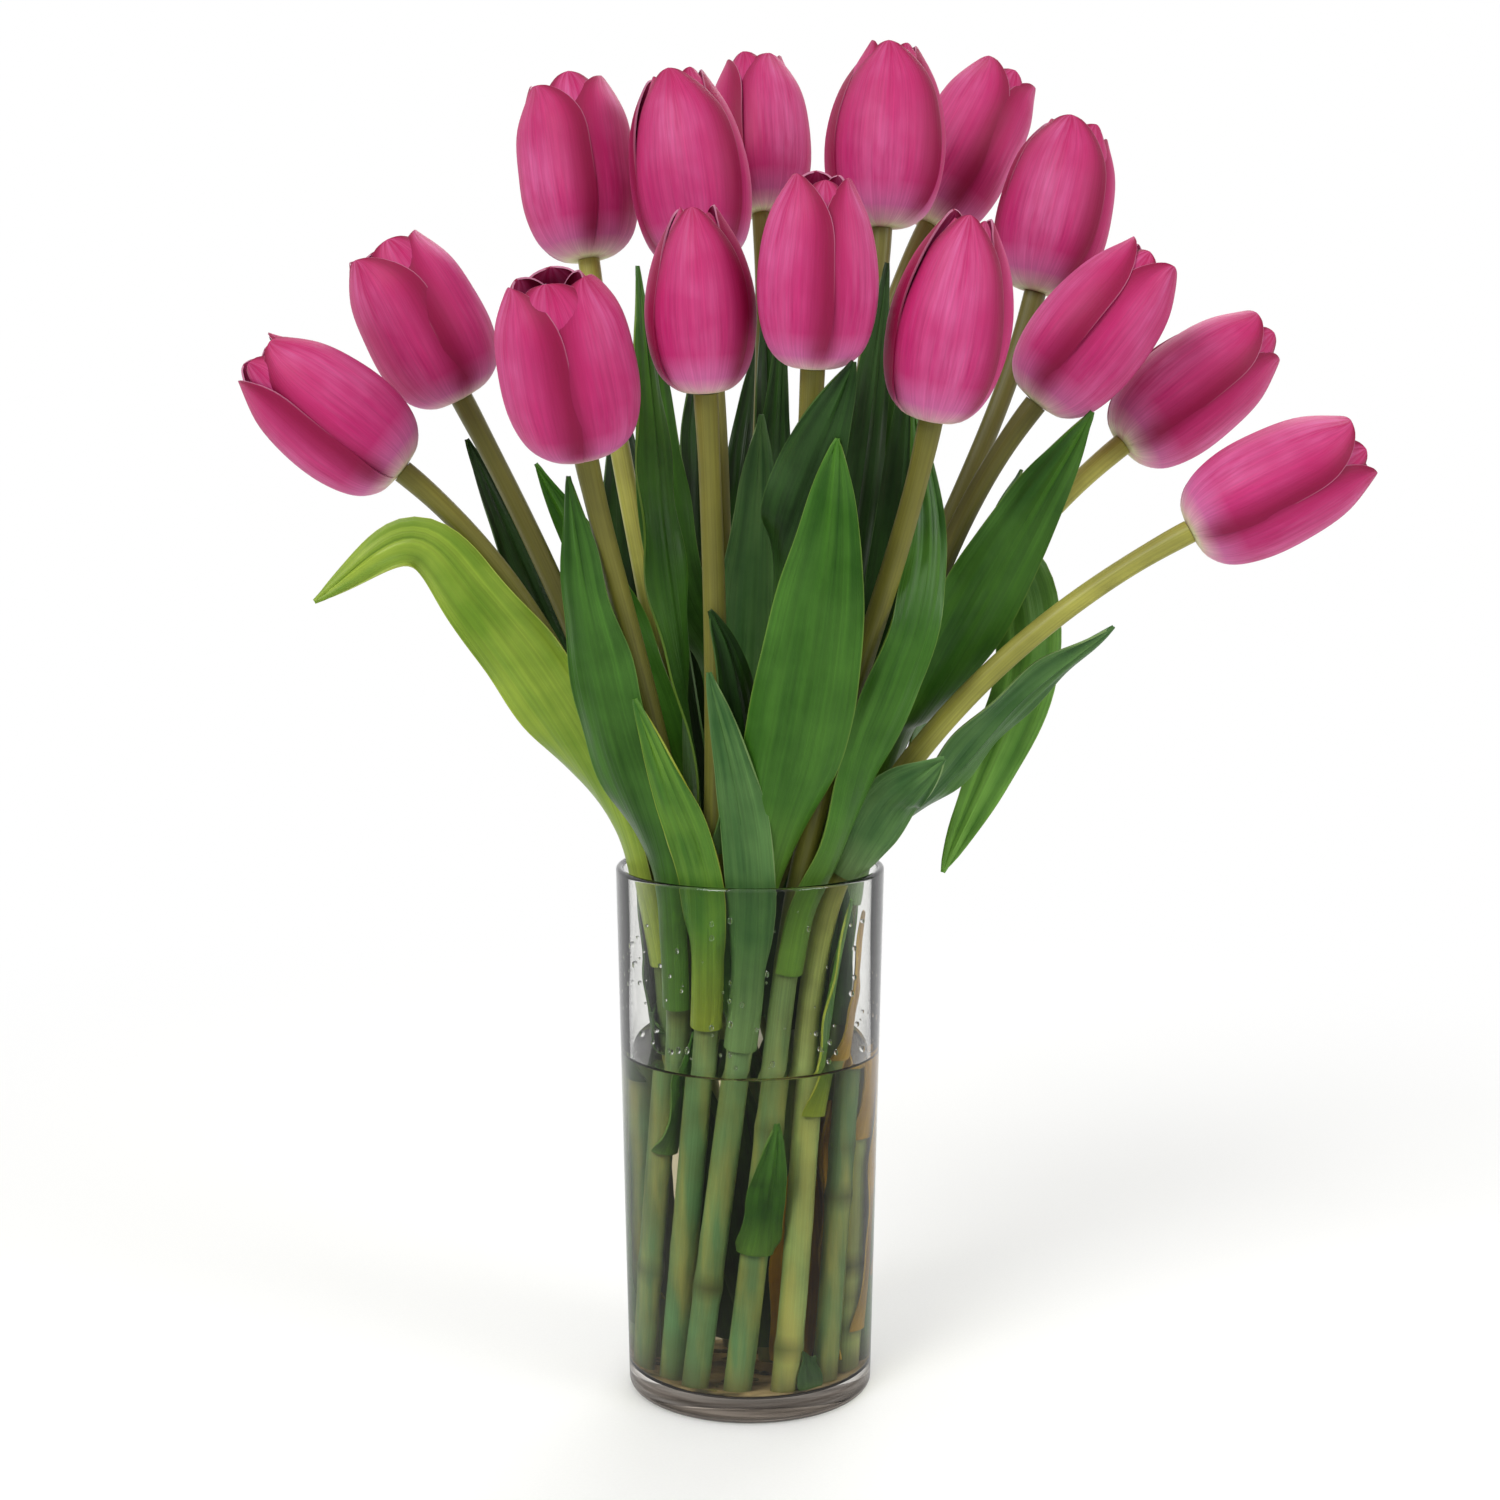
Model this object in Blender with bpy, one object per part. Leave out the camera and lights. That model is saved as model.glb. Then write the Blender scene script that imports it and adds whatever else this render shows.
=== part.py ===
"""Fifteen cut tulips standing in a tapered glass cylinder vase with water.

Lengths are in millimetres, and MM turns them into Blender's metres where a mesh is made.
+Z is up, -Y is the front of the bouquet, and the origin is the centre of the vase's base.
Azimuths are degrees from +X, anticlockwise as seen from above.
"""

import math
from typing import NamedTuple

import bmesh
import bpy
from mathutils import Matrix, Vector
from mathutils.geometry import interpolate_bezier

MM = 0.001
GAP = 0.3  # clearance between pieces that touch on the real thing
STEM_GAP = 0.5  # a wider one at the water's holes and under the flowers, where stems tilt

# Vase
VASE_HEIGHT = 200.0
RIM_RADIUS = 50.0
BASE_RADIUS = 46.0
WALL = 2.8
FLOOR = 9.0  # height of the inside floor
CORNER = 4.0  # rounding where the inside wall meets the floor
FOOT_ROUNDING = 3.0
VASE_SEGMENTS = 40
WATER_LEVEL = 129.0

# Stems
FOOT_STEM_RADIUS = 4.8
TOP_STEM_RADIUS = 3.7
STEM_STEPS_INSIDE = 7
STEM_STEPS_ABOVE = 11
STEM_RINGS = STEM_STEPS_INSIDE + STEM_STEPS_ABOVE - 1

# Leaves
LEAF_THICKNESS = 0.9
LEAF_ROWS = 12
LEAF_COLUMNS = 4
CLASP_ANGLE = 95.0  # a leaf's foot wraps its stem this far to each side
OPEN_RADIUS = 34.0  # radius of the channel across an opened blade
RISE = 24.0  # the blade leaves its stem this far above the clasp

# Flowers
PETAL_THICKNESS = 1.5
FLOWER_SIDES = 12
# (share of the length, share of the half width) up the side of a flower
FLOWER_OUTLINE = ((0.0, 0.2), (0.05, 0.52), (0.16, 0.84), (0.36, 1.0), (0.6, 0.97), (0.82, 0.78),
                  (1.0, 0.38))


class Tulip(NamedTuple):
    foot: tuple  # (azimuth, radius) where the stem stands on the vase's floor
    rim: tuple  # (azimuth, radius) where it passes the rim's height
    base: tuple  # where it meets the flower
    lean: float  # degrees that the flower leans to +X
    nod: float  # degrees that it leans to the front
    length: float
    width: float


class Leaf(NamedTuple):
    tulip: int
    clasp: float  # height of the leaf's foot
    side: float  # azimuth of the side of the stem that it grows on
    facing: float  # azimuth that the back of the opened blade faces
    width: float
    way: tuple  # points that the midrib passes, the last one its tip
    belly: float = 1.15  # a higher number puts the widest place nearer the tip


TULIPS = {
    1: Tulip((155, 30), (184, 39), (-124, -20, 346), -51, 5, 68, 44),
    2: Tulip((122, 33), (160, 39), (-107, 20, 372), -27, 8, 65, 47),
    3: Tulip((190, 34), (226, 37), (-56, -60, 352), -10, 18, 66, 48),
    4: Tulip((92, 32), (125, 39), (-62, 57, 425), -8, -8, 71, 46),
    5: Tulip((60, 14), (115, 20), (-18, 34, 421), -8, -2, 74, 46),
    6: Tulip((54, 34), (88, 39), (5, 92, 445), -3, -14, 67, 42),
    7: Tulip((214, 30), (250, 37), (-15, -62, 373), -3, 8, 64, 38),
    8: Tulip((236, 33), (276, 34), (21, -74, 381), 2, 10, 66, 42),
    9: Tulip((340, 12), (35, 18), (49, 32, 435), 3, -4, 70, 46),
    10: Tulip((28, 29), (62, 39), (70, 84, 440), 27, -14, 72, 42),
    11: Tulip((8, 34), (38, 39), (108, 44, 412), 14, -4, 67, 44),
    12: Tulip((262, 31), (300, 36), (61, -66, 364), 10, 12, 72, 43),
    13: Tulip((318, 33), (352, 39), (103, -8, 370), 38, 4, 69, 43),
    14: Tulip((345, 31), (14, 39), (139, 22, 355), 52, -6, 70, 43),
    15: Tulip((290, 34), (328, 39), (155, -34, 325), 62, 4, 68, 43),
}

LEAVES = (
    # left side
    Leaf(1, 160, 205, 255, 30, ((-48, -11, 215), (-70, -19, 258), (-99, -24, 300), (-121, -26, 321),
                                (-155, -28, 300))),
    Leaf(3, 150, 215, 245, 28, ((-33, -31, 205), (-47, -43, 250), (-57, -51, 300), (-62, -56, 345))),
    Leaf(2, 190, 120, 120, 22, ((-53, 25, 232), (-75, 32, 285), (-92, 34, 324), (-107, 34, 357))),
    Leaf(4, 195, 250, 250, 22, ((-36, 25, 250), (-55, 26, 300), (-80, 23, 348))),
    Leaf(3, 185, 20, -50, 18, ((-20, -26, 238), (-30, -26, 314), (-34, -24, 353), (-40, -18, 418))),
    # front
    Leaf(7, 145, 240, 260, 16, ((-18, -42, 203), (-28, -50, 235), (-40, -54, 268))),
    Leaf(7, 212, 340, 300, 17, ((-3, -44, 255), (-8, -52, 283), (-14, -58, 299))),
    Leaf(8, 137, 262, 262, 18, ((0, -44.5, 203), (-5, -54, 241), (-14, -61, 278))),
    Leaf(5, 190, 285, 275, 26, ((-2, -2, 250), (2, -12, 320), (4, -18, 366))),
    Leaf(8, 178, 282, 270, 37, ((9, -47, 222), (17, -60, 258), (25, -75, 313), (29, -83, 358))),
    Leaf(8, 286, 200, 262, 22, ((13, -72, 330), (20, -78, 350), (34, -88, 383)), 1.4),
    Leaf(9, 205, 335, 290, 20, ((30, 8, 270), (42, 12, 350), (50, 10, 421))),
    # right side
    Leaf(12, 165, 325, 285, 19, ((31, -36, 212), (41, -46, 248), (50, -53, 272), (59, -51, 300),
                                 (62, -42, 330), (57, -33, 372))),
    Leaf(13, 226, 310, 270, 29, ((60, -13, 258), (78, -15, 290), (98, -17, 327), (122, -18, 367))),
    Leaf(14, 160, 5, -85, 24, ((45, 9, 204), (64, 9, 250), (80, 7, 292), (93, 5, 311), (102, 3, 296),
                               (100, 1, 262), (72, 0, 197)), 2.1),
    Leaf(11, 190, 200, 260, 20, ((38, 14, 240), (50, 4, 290), (56, -2, 350), (58, -5, 396))),
    Leaf(13, 185, 335, 322, 24, ((70, -15, 232), (98, -19, 265), (130, -24, 291))),
    Leaf(15, 200, 290, 290, 22, ((55, -33, 232), (69, -38, 245))),
    # middle
    Leaf(5, 250, 250, 262, 20, ((-26, 6, 302), (-33, 4, 345), (-36, 0, 400))),
    Leaf(6, 200, 275, 270, 16, ((4, 18, 280), (8, 13, 340), (12, 10, 402))),
    Leaf(10, 210, 250, 265, 21, ((42, 35, 285), (53, 38, 340), (60, 38, 398))),
    Leaf(9, 225, 118, 102, 16, ((14, 44, 280), (9, 47, 345), (6, 52, 412))),
    Leaf(5, 225, 135, 125, 22, ((-18, 38, 290), (-19, 46, 350), (-18, 54, 410))),
    # back
    Leaf(6, 150, 98, 98, 27, ((-2, 45, 203), (-4, 60, 260), (0, 76, 330), (4, 92, 398))),
    Leaf(10, 150, 65, 65, 28, ((21, 41, 203), (34, 60, 255), (46, 78, 315), (54, 94, 372)), 1.3),
    Leaf(4, 150, 114, 114, 28, ((-25, 38, 203), (-37, 54, 255), (-47, 72, 315), (-52, 88, 372)), 1.3),
    Leaf(11, 200, 20, 20, 28, ((60, 38, 250), (84, 54, 300), (106, 66, 345))),
)


def clear_scene():
    for obj in list(bpy.data.objects):
        bpy.data.objects.remove(obj, do_unlink=True)


def material(name, colour, roughness, alpha=1.0, transmission=0.0):
    made = bpy.data.materials.new(name)
    made.use_nodes = True
    shader = made.node_tree.nodes["Principled BSDF"]
    shader.inputs["Base Color"].default_value = (*colour, 1.0)
    shader.inputs["Roughness"].default_value = roughness
    shader.inputs["Metallic"].default_value = 0.0
    shader.inputs["Alpha"].default_value = alpha
    shader.inputs["Transmission Weight"].default_value = transmission
    return made


def mesh_object(name, bm, finish, parent=None):
    """Turns a bmesh in millimetres into a named object in metres."""
    bmesh.ops.scale(bm, vec=(MM, MM, MM), verts=bm.verts)
    mesh = bpy.data.meshes.new(name)
    bm.to_mesh(mesh)
    bm.free()
    mesh.shade_smooth()
    mesh.set_sharp_from_angle(angle=math.radians(50))
    obj = bpy.data.objects.new(name, mesh)
    obj.parent = parent
    if finish:
        mesh.materials.append(finish)
    bpy.context.scene.collection.objects.link(obj)
    return obj


def empty(name):
    obj = bpy.data.objects.new(name, None)
    bpy.context.scene.collection.objects.link(obj)
    return obj


def polar(azimuth, radius, z=0.0):
    angle = math.radians(azimuth)
    return Vector((radius * math.cos(angle), radius * math.sin(angle), z))


def turned(outline):
    """A bmesh of an outline of (radius, z) points, closed on the axis, spun once round Z."""
    bm = bmesh.new()
    points = [bm.verts.new((radius, 0.0, z)) for radius, z in outline]
    edges = [bm.edges.new(pair) for pair in zip(points, points[1:])]
    full_turn = {"cent": (0, 0, 0), "axis": (0, 0, 1), "angle": math.tau, "use_merge": True}
    bmesh.ops.spin(bm, geom=points + edges, steps=VASE_SEGMENTS, **full_turn)
    bmesh.ops.remove_doubles(bm, verts=bm.verts, dist=0.01)
    bmesh.ops.recalc_face_normals(bm, faces=bm.faces)
    return bm


def inside_radius(z, clear=0.0):
    """Radius of the vase's inside wall at a height, less a clearance."""
    return BASE_RADIUS - WALL + (RIM_RADIUS - BASE_RADIUS) * z / VASE_HEIGHT - clear


def floor_corner(clear):
    """The rounded corner of the inside floor, from the floor's edge to the wall."""
    centre = inside_radius(FLOOR + CORNER, clear) - CORNER
    angles = (math.radians(a) for a in (-90, -45, 0))
    return [(centre + CORNER * math.cos(a), FLOOR + clear + CORNER * (1 + math.sin(a))) for a in angles]


def build_vase(finish):
    rim = WALL / 2
    rim_centre = RIM_RADIUS - rim
    foot = FOOT_ROUNDING
    outline = [(0.0, 0.0), (BASE_RADIUS - foot, 0.0)]
    outline += [(BASE_RADIUS - 0.3 * foot, 0.3 * foot), (BASE_RADIUS, foot)]
    for angle in map(math.radians, (0, 45, 90, 135, 180)):
        outline.append((rim_centre + rim * math.cos(angle), VASE_HEIGHT - rim + rim * math.sin(angle)))
    outline += reversed(floor_corner(0.0))
    outline.append((0.0, FLOOR))
    return mesh_object("glass_vase", turned(outline), finish)


def build_water(finish, cutters):
    surface = (inside_radius(WATER_LEVEL, GAP), WATER_LEVEL)
    outline = [(0.0, FLOOR + GAP), *floor_corner(GAP), surface, (0.0, WATER_LEVEL)]
    water = mesh_object("water", turned(outline), finish)
    holes = bpy.data.collections.new("stem_holes")
    bpy.context.scene.collection.children.link(holes)
    for cutter in cutters:
        bpy.context.scene.collection.objects.unlink(cutter)
        holes.objects.link(cutter)
        cutter.hide_render = True
        cutter.display_type = "WIRE"
    cut = water.modifiers.new("stems", "BOOLEAN")
    cut.operation = "DIFFERENCE"
    cut.operand_type = "COLLECTION"
    cut.collection = holes
    return water


def flower_axis(tulip):
    lean, nod = math.radians(tulip.lean), math.radians(tulip.nod)
    return Vector((math.sin(lean) * math.cos(nod), -math.sin(nod), math.cos(lean) * math.cos(nod)))


def stem_route(tulip):
    """Points up the middle of a stem, from its foot on the vase's floor to the flower."""
    foot = polar(*tulip.foot, FLOOR + GAP)
    rim = polar(*tulip.rim, VASE_HEIGHT)
    top = Vector(tulip.base)
    up_vase, up_air = rim - foot, top - rim
    through_rim = (up_vase.normalized() + up_air.normalized()).normalized()
    inside = up_vase.length / 3
    above = up_air.length / 3
    lower = interpolate_bezier(
        foot, foot + up_vase.normalized() * inside, rim - through_rim * inside * 0.6, rim, STEM_STEPS_INSIDE
    )
    upper = interpolate_bezier(
        rim, rim + through_rim * above, top - flower_axis(tulip) * above, top, STEM_STEPS_ABOVE
    )
    return [*lower, *upper[1:]]


def stem_radius(step):
    return FOOT_STEM_RADIUS + (TOP_STEM_RADIUS - FOOT_STEM_RADIUS) * step / (STEM_RINGS - 1)


def stem_at(tulip, height):
    """(point on the stem's middle, its direction, its radius) at a height."""
    route = stem_route(tulip)
    step = next(i for i, point in enumerate(route) if point.z > height)
    low, high = route[step - 1], route[step]
    share = (height - low.z) / (high.z - low.z)
    return low.lerp(high, share), (high - low).normalized(), stem_radius(step - 1 + share)


def build_tube(name, route, grow, foot_height, finish, parent=None):
    """A tapering round tube along a route, its foot cut level at foot_height."""
    curve = bpy.data.curves.new(name, "CURVE")
    curve.dimensions = "3D"
    curve.bevel_depth = 1.0
    curve.bevel_resolution = 2
    curve.use_fill_caps = True
    spline = curve.splines.new("POLY")
    spline.points.add(len(route) - 1)
    for step, (point, place) in enumerate(zip(spline.points, route)):
        point.co = (*place, 1.0)
        point.radius = stem_radius(step) + grow
    guide = bpy.data.objects.new(name + "_guide", curve)
    bm = bmesh.new()
    bm.from_mesh(guide.to_mesh())
    bpy.data.objects.remove(guide)
    bmesh.ops.remove_doubles(bm, verts=bm.verts, dist=0.01)
    for vert in bm.verts:
        if (vert.co - route[0]).length < 1.2 * (FOOT_STEM_RADIUS + grow):
            vert.co.z = foot_height
    bmesh.ops.recalc_face_normals(bm, faces=bm.faces)
    return mesh_object(name, bm, finish, parent)


def build_stem(number, tulip, finish, parent):
    route = stem_route(tulip)
    route[-1] = route[-1] - flower_axis(tulip) * STEM_GAP
    return build_tube(f"stem_{number:02d}", route, 0.0, FLOOR + GAP, finish, parent)


def build_stem_cutter(number, tulip):
    return build_tube(f"stem_hole_{number:02d}", stem_route(tulip), STEM_GAP, FLOOR - 2, None)


def build_flower(number, tulip, finish, parent):
    """An open cup of six petals joined at the base: rings of points up the outline, then a wall."""
    bm = bmesh.new()
    rings = []
    for height, share in FLOWER_OUTLINE:
        ring = []
        for side in range(FLOWER_SIDES):
            angle = math.tau * side / FLOWER_SIDES
            crest = math.cos(6 * angle)  # 1 on a petal's middle and -1 between two petals
            outer = math.cos(3 * angle)  # 1 on the three outer petals and -1 on the inner ones
            radius = tulip.width / 2 * share * (1 + 0.025 * crest * share + 0.03 * outer * share)
            drop = 0.05 * (1 - crest) * height**3
            place = (radius * math.cos(angle), radius * math.sin(angle), tulip.length * (height - drop))
            ring.append(bm.verts.new(place))
        rings.append(ring)
    bm.faces.new(reversed(rings[0]))
    for lower, upper in zip(rings, rings[1:]):
        for side in range(FLOWER_SIDES):
            after = (side + 1) % FLOWER_SIDES
            bm.faces.new((lower[side], lower[after], upper[after], upper[side]))
    flower = mesh_object(f"flower_{number:02d}", bm, finish, parent)
    wall = flower.modifiers.new("petal_wall", "SOLIDIFY")
    wall.thickness = PETAL_THICKNESS * MM
    wall.offset = -1
    turn = flower_axis(tulip).to_track_quat("Z", "Y").to_matrix().to_4x4()
    flower.matrix_basis = Matrix.Translation(Vector(tulip.base) * MM) @ turn
    return flower


def smooth_step(share):
    share = max(0.0, min(1.0, share))
    return share * share * (3 - 2 * share)


def smooth_route(points, steps=12):
    """A Catmull-Rom curve through the points."""
    ends = [2 * points[0] - points[1], *points, 2 * points[-1] - points[-2]]
    route = []
    for before, start, end, after in zip(ends, ends[1:], ends[2:], ends[3:]):
        for step in range(steps):
            t = step / steps
            route.append(
                0.5 * (2 * start + (end - before) * t + (2 * before - 5 * start + 4 * end - after) * t**2
                       + (3 * start - before - 3 * end + after) * t**3)
            )
    return [*route, points[-1]]


def evenly(route, rows):
    """rows + 1 points spaced evenly along a route."""
    lengths = [0.0]
    for a, b in zip(route, route[1:]):
        lengths.append(lengths[-1] + (b - a).length)
    spaced = []
    for row in range(rows + 1):
        wanted = lengths[-1] * row / rows
        i = max(k for k in range(len(route) - 1) if lengths[k] <= wanted)
        spaced.append(route[i].lerp(route[i + 1], (wanted - lengths[i]) / (lengths[i + 1] - lengths[i])))
    return spaced


def leaf_half_width(leaf, clasp_width, share):
    """Half the blade's width, measured round its channel: the clasp, then a lance shape."""
    lance = math.sin(math.pi * min(1.0, 0.16 + 0.84 * share) ** leaf.belly) ** 0.8
    blade = leaf.width / 2 * lance + 0.25
    return clasp_width + (blade - clasp_width) * smooth_step(share / 0.35)


def build_leaf(number, leaf, finish, parent):
    """A blade whose foot clasps the stem and which opens into a shallow channel."""
    tulip = TULIPS[leaf.tulip]
    middle, along, stem = stem_at(tulip, leaf.clasp)
    higher = stem_at(tulip, leaf.clasp + RISE)[0]
    out = polar(leaf.side, 1.0)
    out = (out - along * out.dot(along)).normalized()
    clasp_radius = (stem + GAP) / math.cos(math.radians(CLASP_ANGLE / LEAF_COLUMNS))
    start = middle + out * clasp_radius
    rise = higher + out * (clasp_radius + 1.5)
    midrib = evenly(smooth_route([start, rise, *map(Vector, leaf.way)]), LEAF_ROWS)
    bm = bmesh.new()
    rows = []
    for row, point in enumerate(midrib):
        share = row / LEAF_ROWS
        ahead = (midrib[min(row + 1, LEAF_ROWS)] - midrib[max(row - 1, 0)]).normalized()
        face = polar(leaf.side + (leaf.facing - leaf.side) * smooth_step((share - 0.2) / 0.35), 1.0)
        face = (face - ahead * face.dot(ahead)).normalized()
        across = ahead.cross(face)
        opened = smooth_step(share / 0.45)
        radius = clasp_radius + (OPEN_RADIUS - clasp_radius) * opened
        half = leaf_half_width(leaf, clasp_radius * math.radians(CLASP_ANGLE), share)
        verts = []
        for column in range(LEAF_COLUMNS + 1):
            angle = (2 * column / LEAF_COLUMNS - 1) * half / radius
            inward = face * radius * (1 - math.cos(angle))
            verts.append(bm.verts.new(point + across * radius * math.sin(angle) - inward))
        rows.append(verts)
    for lower, upper in zip(rows, rows[1:]):
        for column in range(LEAF_COLUMNS):
            bm.faces.new((lower[column], lower[column + 1], upper[column + 1], upper[column]))
    obj = mesh_object(f"leaf_{number:02d}", bm, finish, parent)
    body = obj.modifiers.new("thickness", "SOLIDIFY")
    body.thickness = LEAF_THICKNESS * MM
    body.offset = 1
    return obj


def build():
    clear_scene()
    glass = material("clear_glass", (0.92, 0.95, 0.94), 0.03, alpha=0.35, transmission=1.0)
    clear_water = material("vase_water", (0.78, 0.84, 0.72), 0.02, alpha=0.4, transmission=1.0)
    stem_green = material("stem_green", (0.22, 0.3, 0.06), 0.5)
    petal_pink = material("petal_pink", (0.6, 0.04, 0.25), 0.45)
    leaf_green = material("leaf_green", (0.05, 0.17, 0.04), 0.45)
    plants = {number: empty(f"tulip_{number:02d}") for number in TULIPS}
    build_vase(glass)
    build_water(clear_water, [build_stem_cutter(number, tulip) for number, tulip in TULIPS.items()])
    for number, tulip in TULIPS.items():
        build_stem(number, tulip, stem_green, plants[number])
        build_flower(number, tulip, petal_pink, plants[number])
    for number, leaf in enumerate(LEAVES, start=1):
        build_leaf(number, leaf, leaf_green, plants[leaf.tulip])


build()
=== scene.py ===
# The looks of fifteen cut tulips in a tapered glass vase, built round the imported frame.
# Lengths are in millimetres up to the moment a mesh gets its places, which are in metres.
# +Z is up and -Y is the front. Azimuths are degrees from +X, anticlockwise seen from above.

import random
from functools import partial
from math import cos, degrees, exp, pi, radians, sin, sqrt, tau

import bpy
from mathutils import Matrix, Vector, noise
from mathutils.geometry import interpolate_bezier


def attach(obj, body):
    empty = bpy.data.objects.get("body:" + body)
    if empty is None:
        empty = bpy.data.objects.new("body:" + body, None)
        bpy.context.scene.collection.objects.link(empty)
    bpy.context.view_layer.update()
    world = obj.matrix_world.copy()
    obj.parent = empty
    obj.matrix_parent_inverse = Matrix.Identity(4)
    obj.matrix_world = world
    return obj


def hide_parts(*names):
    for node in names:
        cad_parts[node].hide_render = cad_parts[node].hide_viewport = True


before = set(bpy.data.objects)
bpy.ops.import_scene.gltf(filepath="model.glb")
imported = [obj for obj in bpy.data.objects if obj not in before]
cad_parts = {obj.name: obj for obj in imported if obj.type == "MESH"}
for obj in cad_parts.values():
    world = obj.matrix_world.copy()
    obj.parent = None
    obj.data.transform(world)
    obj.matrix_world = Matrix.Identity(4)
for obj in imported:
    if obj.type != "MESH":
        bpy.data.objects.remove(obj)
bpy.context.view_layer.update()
mm = 0.001
print("frame loaded:", len(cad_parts), "nodes")

# camera first, so that every piece can be looked at from the same place
cameraSettings = {"place": (0.0, -0.9, 0.363), "tiltDown": 7.6, "lens": 58.8, "sensor": 36.0}

bpy.ops.object.camera_add(
    location=cameraSettings["place"],
    rotation=(radians(90 - cameraSettings["tiltDown"]), 0.0, 0.0),
)
camera = bpy.context.object
camera.name = "studioCamera"
camera.data.lens = cameraSettings["lens"]
camera.data.sensor_width = cameraSettings["sensor"]
bpy.context.scene.camera = camera


# small tools

def deselectAll():
    bpy.ops.object.select_all(action="DESELECT")


def makeActive(obj):
    deselectAll()
    obj.select_set(True)
    bpy.context.view_layer.objects.active = obj


def solid(operator, **settings):
    # adds a plain mesh and applies its place, turn and scale
    deselectAll()
    operator(**settings)
    bpy.ops.object.transform_apply(location=True, rotation=True, scale=True)
    return bpy.context.object


def applyModifier(obj, kind, **settings):
    makeActive(obj)
    modifier = obj.modifiers.new(kind.lower(), kind)
    for name, value in settings.items():
        setattr(modifier, name, value)
    bpy.ops.object.modifier_apply(modifier=modifier.name)


def selectIn(obj, kind, test):
    # in edit mode: selects the faces, edges or verts that pass the test
    bpy.ops.object.mode_set(mode="EDIT")
    bpy.ops.mesh.select_mode(type=kind)
    bpy.ops.mesh.select_all(action="DESELECT")
    bpy.ops.object.mode_set(mode="OBJECT")
    mesh = obj.data
    parts = {"VERT": mesh.vertices, "EDGE": mesh.edges, "FACE": mesh.polygons}[kind]
    for part in parts:
        part.select = test(part)
    bpy.ops.object.mode_set(mode="EDIT")


def sheet(name, columns, rows, place):
    # a flat grid whose points are moved to place(u, v), with u across and v along, both 0 to 1
    obj = solid(bpy.ops.mesh.primitive_grid_add, x_subdivisions=columns, y_subdivisions=rows, size=1.0)
    obj.name = name
    for vert in obj.data.vertices:
        vert.co = place(vert.co.x + 0.5, vert.co.y + 0.5) * mm
    return obj


def weldSeams(finish=None, **settings):
    # merges the points that a closed or pointed sheet has twice
    bpy.ops.object.mode_set(mode="EDIT")
    bpy.ops.mesh.select_all(action="SELECT")
    bpy.ops.mesh.remove_doubles(threshold=0.02 * mm)
    if finish:
        finish(**settings)
    bpy.ops.object.mode_set(mode="OBJECT")


def joined(name, objs):
    deselectAll()
    for obj in objs:
        obj.select_set(True)
    bpy.context.view_layer.objects.active = objs[0]
    bpy.ops.object.join()
    objs[0].name = name
    return objs[0]


def smoothed(obj, angle):
    makeActive(obj)
    bpy.ops.object.shade_smooth_by_angle(angle=radians(angle))


def settle(obj, node, finish):
    # the piece gets its finish, rides with the whole part and stands for its CAD node
    obj.data.materials.clear()
    obj.data.materials.append(finish)
    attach(obj, "root")
    if node:
        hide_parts(node)


def smoothStep(share):
    share = max(0.0, min(1.0, share))
    return share * share * (3 - 2 * share)


def mixed(a, b, share):
    return a + (b - a) * share


def squareTo(vector, axis):
    # the part of a vector that is square to an axis, at length 1
    return (vector - axis * vector.dot(axis)).normalized()


def polar(azimuth, radius, z=0.0):
    angle = radians(azimuth)
    return Vector((radius * cos(angle), radius * sin(angle), z))


def smoothRoute(points, steps=12):
    # a Catmull-Rom curve through the points
    ends = [2 * points[0] - points[1], *points, 2 * points[-1] - points[-2]]
    route = []
    for before, start, end, after in zip(ends, ends[1:], ends[2:], ends[3:]):
        for step in range(steps):
            t = step / steps
            route.append(
                0.5 * (2 * start + (end - before) * t
                       + (2 * before - 5 * start + 4 * end - after) * t**2
                       + (3 * start - before - 3 * end + after) * t**3)
            )
    return [*route, points[-1]]


def evenly(route, rows):
    # rows + 1 points spaced evenly along a route
    lengths = [0.0]
    for a, b in zip(route, route[1:]):
        lengths.append(lengths[-1] + (b - a).length)
    spaced, i = [], 0
    for row in range(rows + 1):
        wanted = lengths[-1] * row / rows
        while i < len(route) - 2 and lengths[i + 1] < wanted:
            i += 1
        spaced.append(route[i].lerp(route[i + 1], (wanted - lengths[i]) / (lengths[i + 1] - lengths[i])))
    return spaced


def colour(hexCode):
    # an sRGB hex colour as linear RGBA
    values = [int(hexCode[i:i + 2], 16) / 255 for i in (1, 3, 5)]
    return (*(v / 12.92 if v <= 0.04045 else ((v + 0.055) / 1.055) ** 2.4 for v in values), 1.0)


def fill(node, inputs):
    # inputs are named, or stand in the node's own order. Each gets a value, an sRGB colour,
    # an output to link, or a node whose first output in use is linked.
    for socket, value in inputs.items() if isinstance(inputs, dict) else enumerate(inputs):
        if isinstance(value, bpy.types.Node):
            value = next(output for output in value.outputs if output.enabled)
        if isinstance(value, bpy.types.NodeSocket):
            node.id_data.links.new(value, node.inputs[socket])
        else:
            node.inputs[socket].default_value = colour(value) if isinstance(value, str) else value


def newMaterial(name, inputs):
    # a material, addNode for its tree, its shader with uniform values, and its coordinates
    material = bpy.data.materials.new(name)
    material.use_nodes = True
    add = partial(addNode, material.node_tree)
    shader = material.node_tree.nodes["Principled BSDF"]
    fill(shader, inputs)
    return material, add, shader, add("TexCoord").outputs


def addNode(tree, kind, inputs=(), stops=(), **settings):
    node = tree.nodes.new("ShaderNode" + kind)
    for name, value in settings.items():
        setattr(node, name, value)
    fill(node, inputs)
    for i, (place, shade) in enumerate(stops):
        element = node.color_ramp.elements[i] if i < 2 else node.color_ramp.elements.new(place)
        element.position = place
        element.color = colour(shade)
    return node


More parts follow.
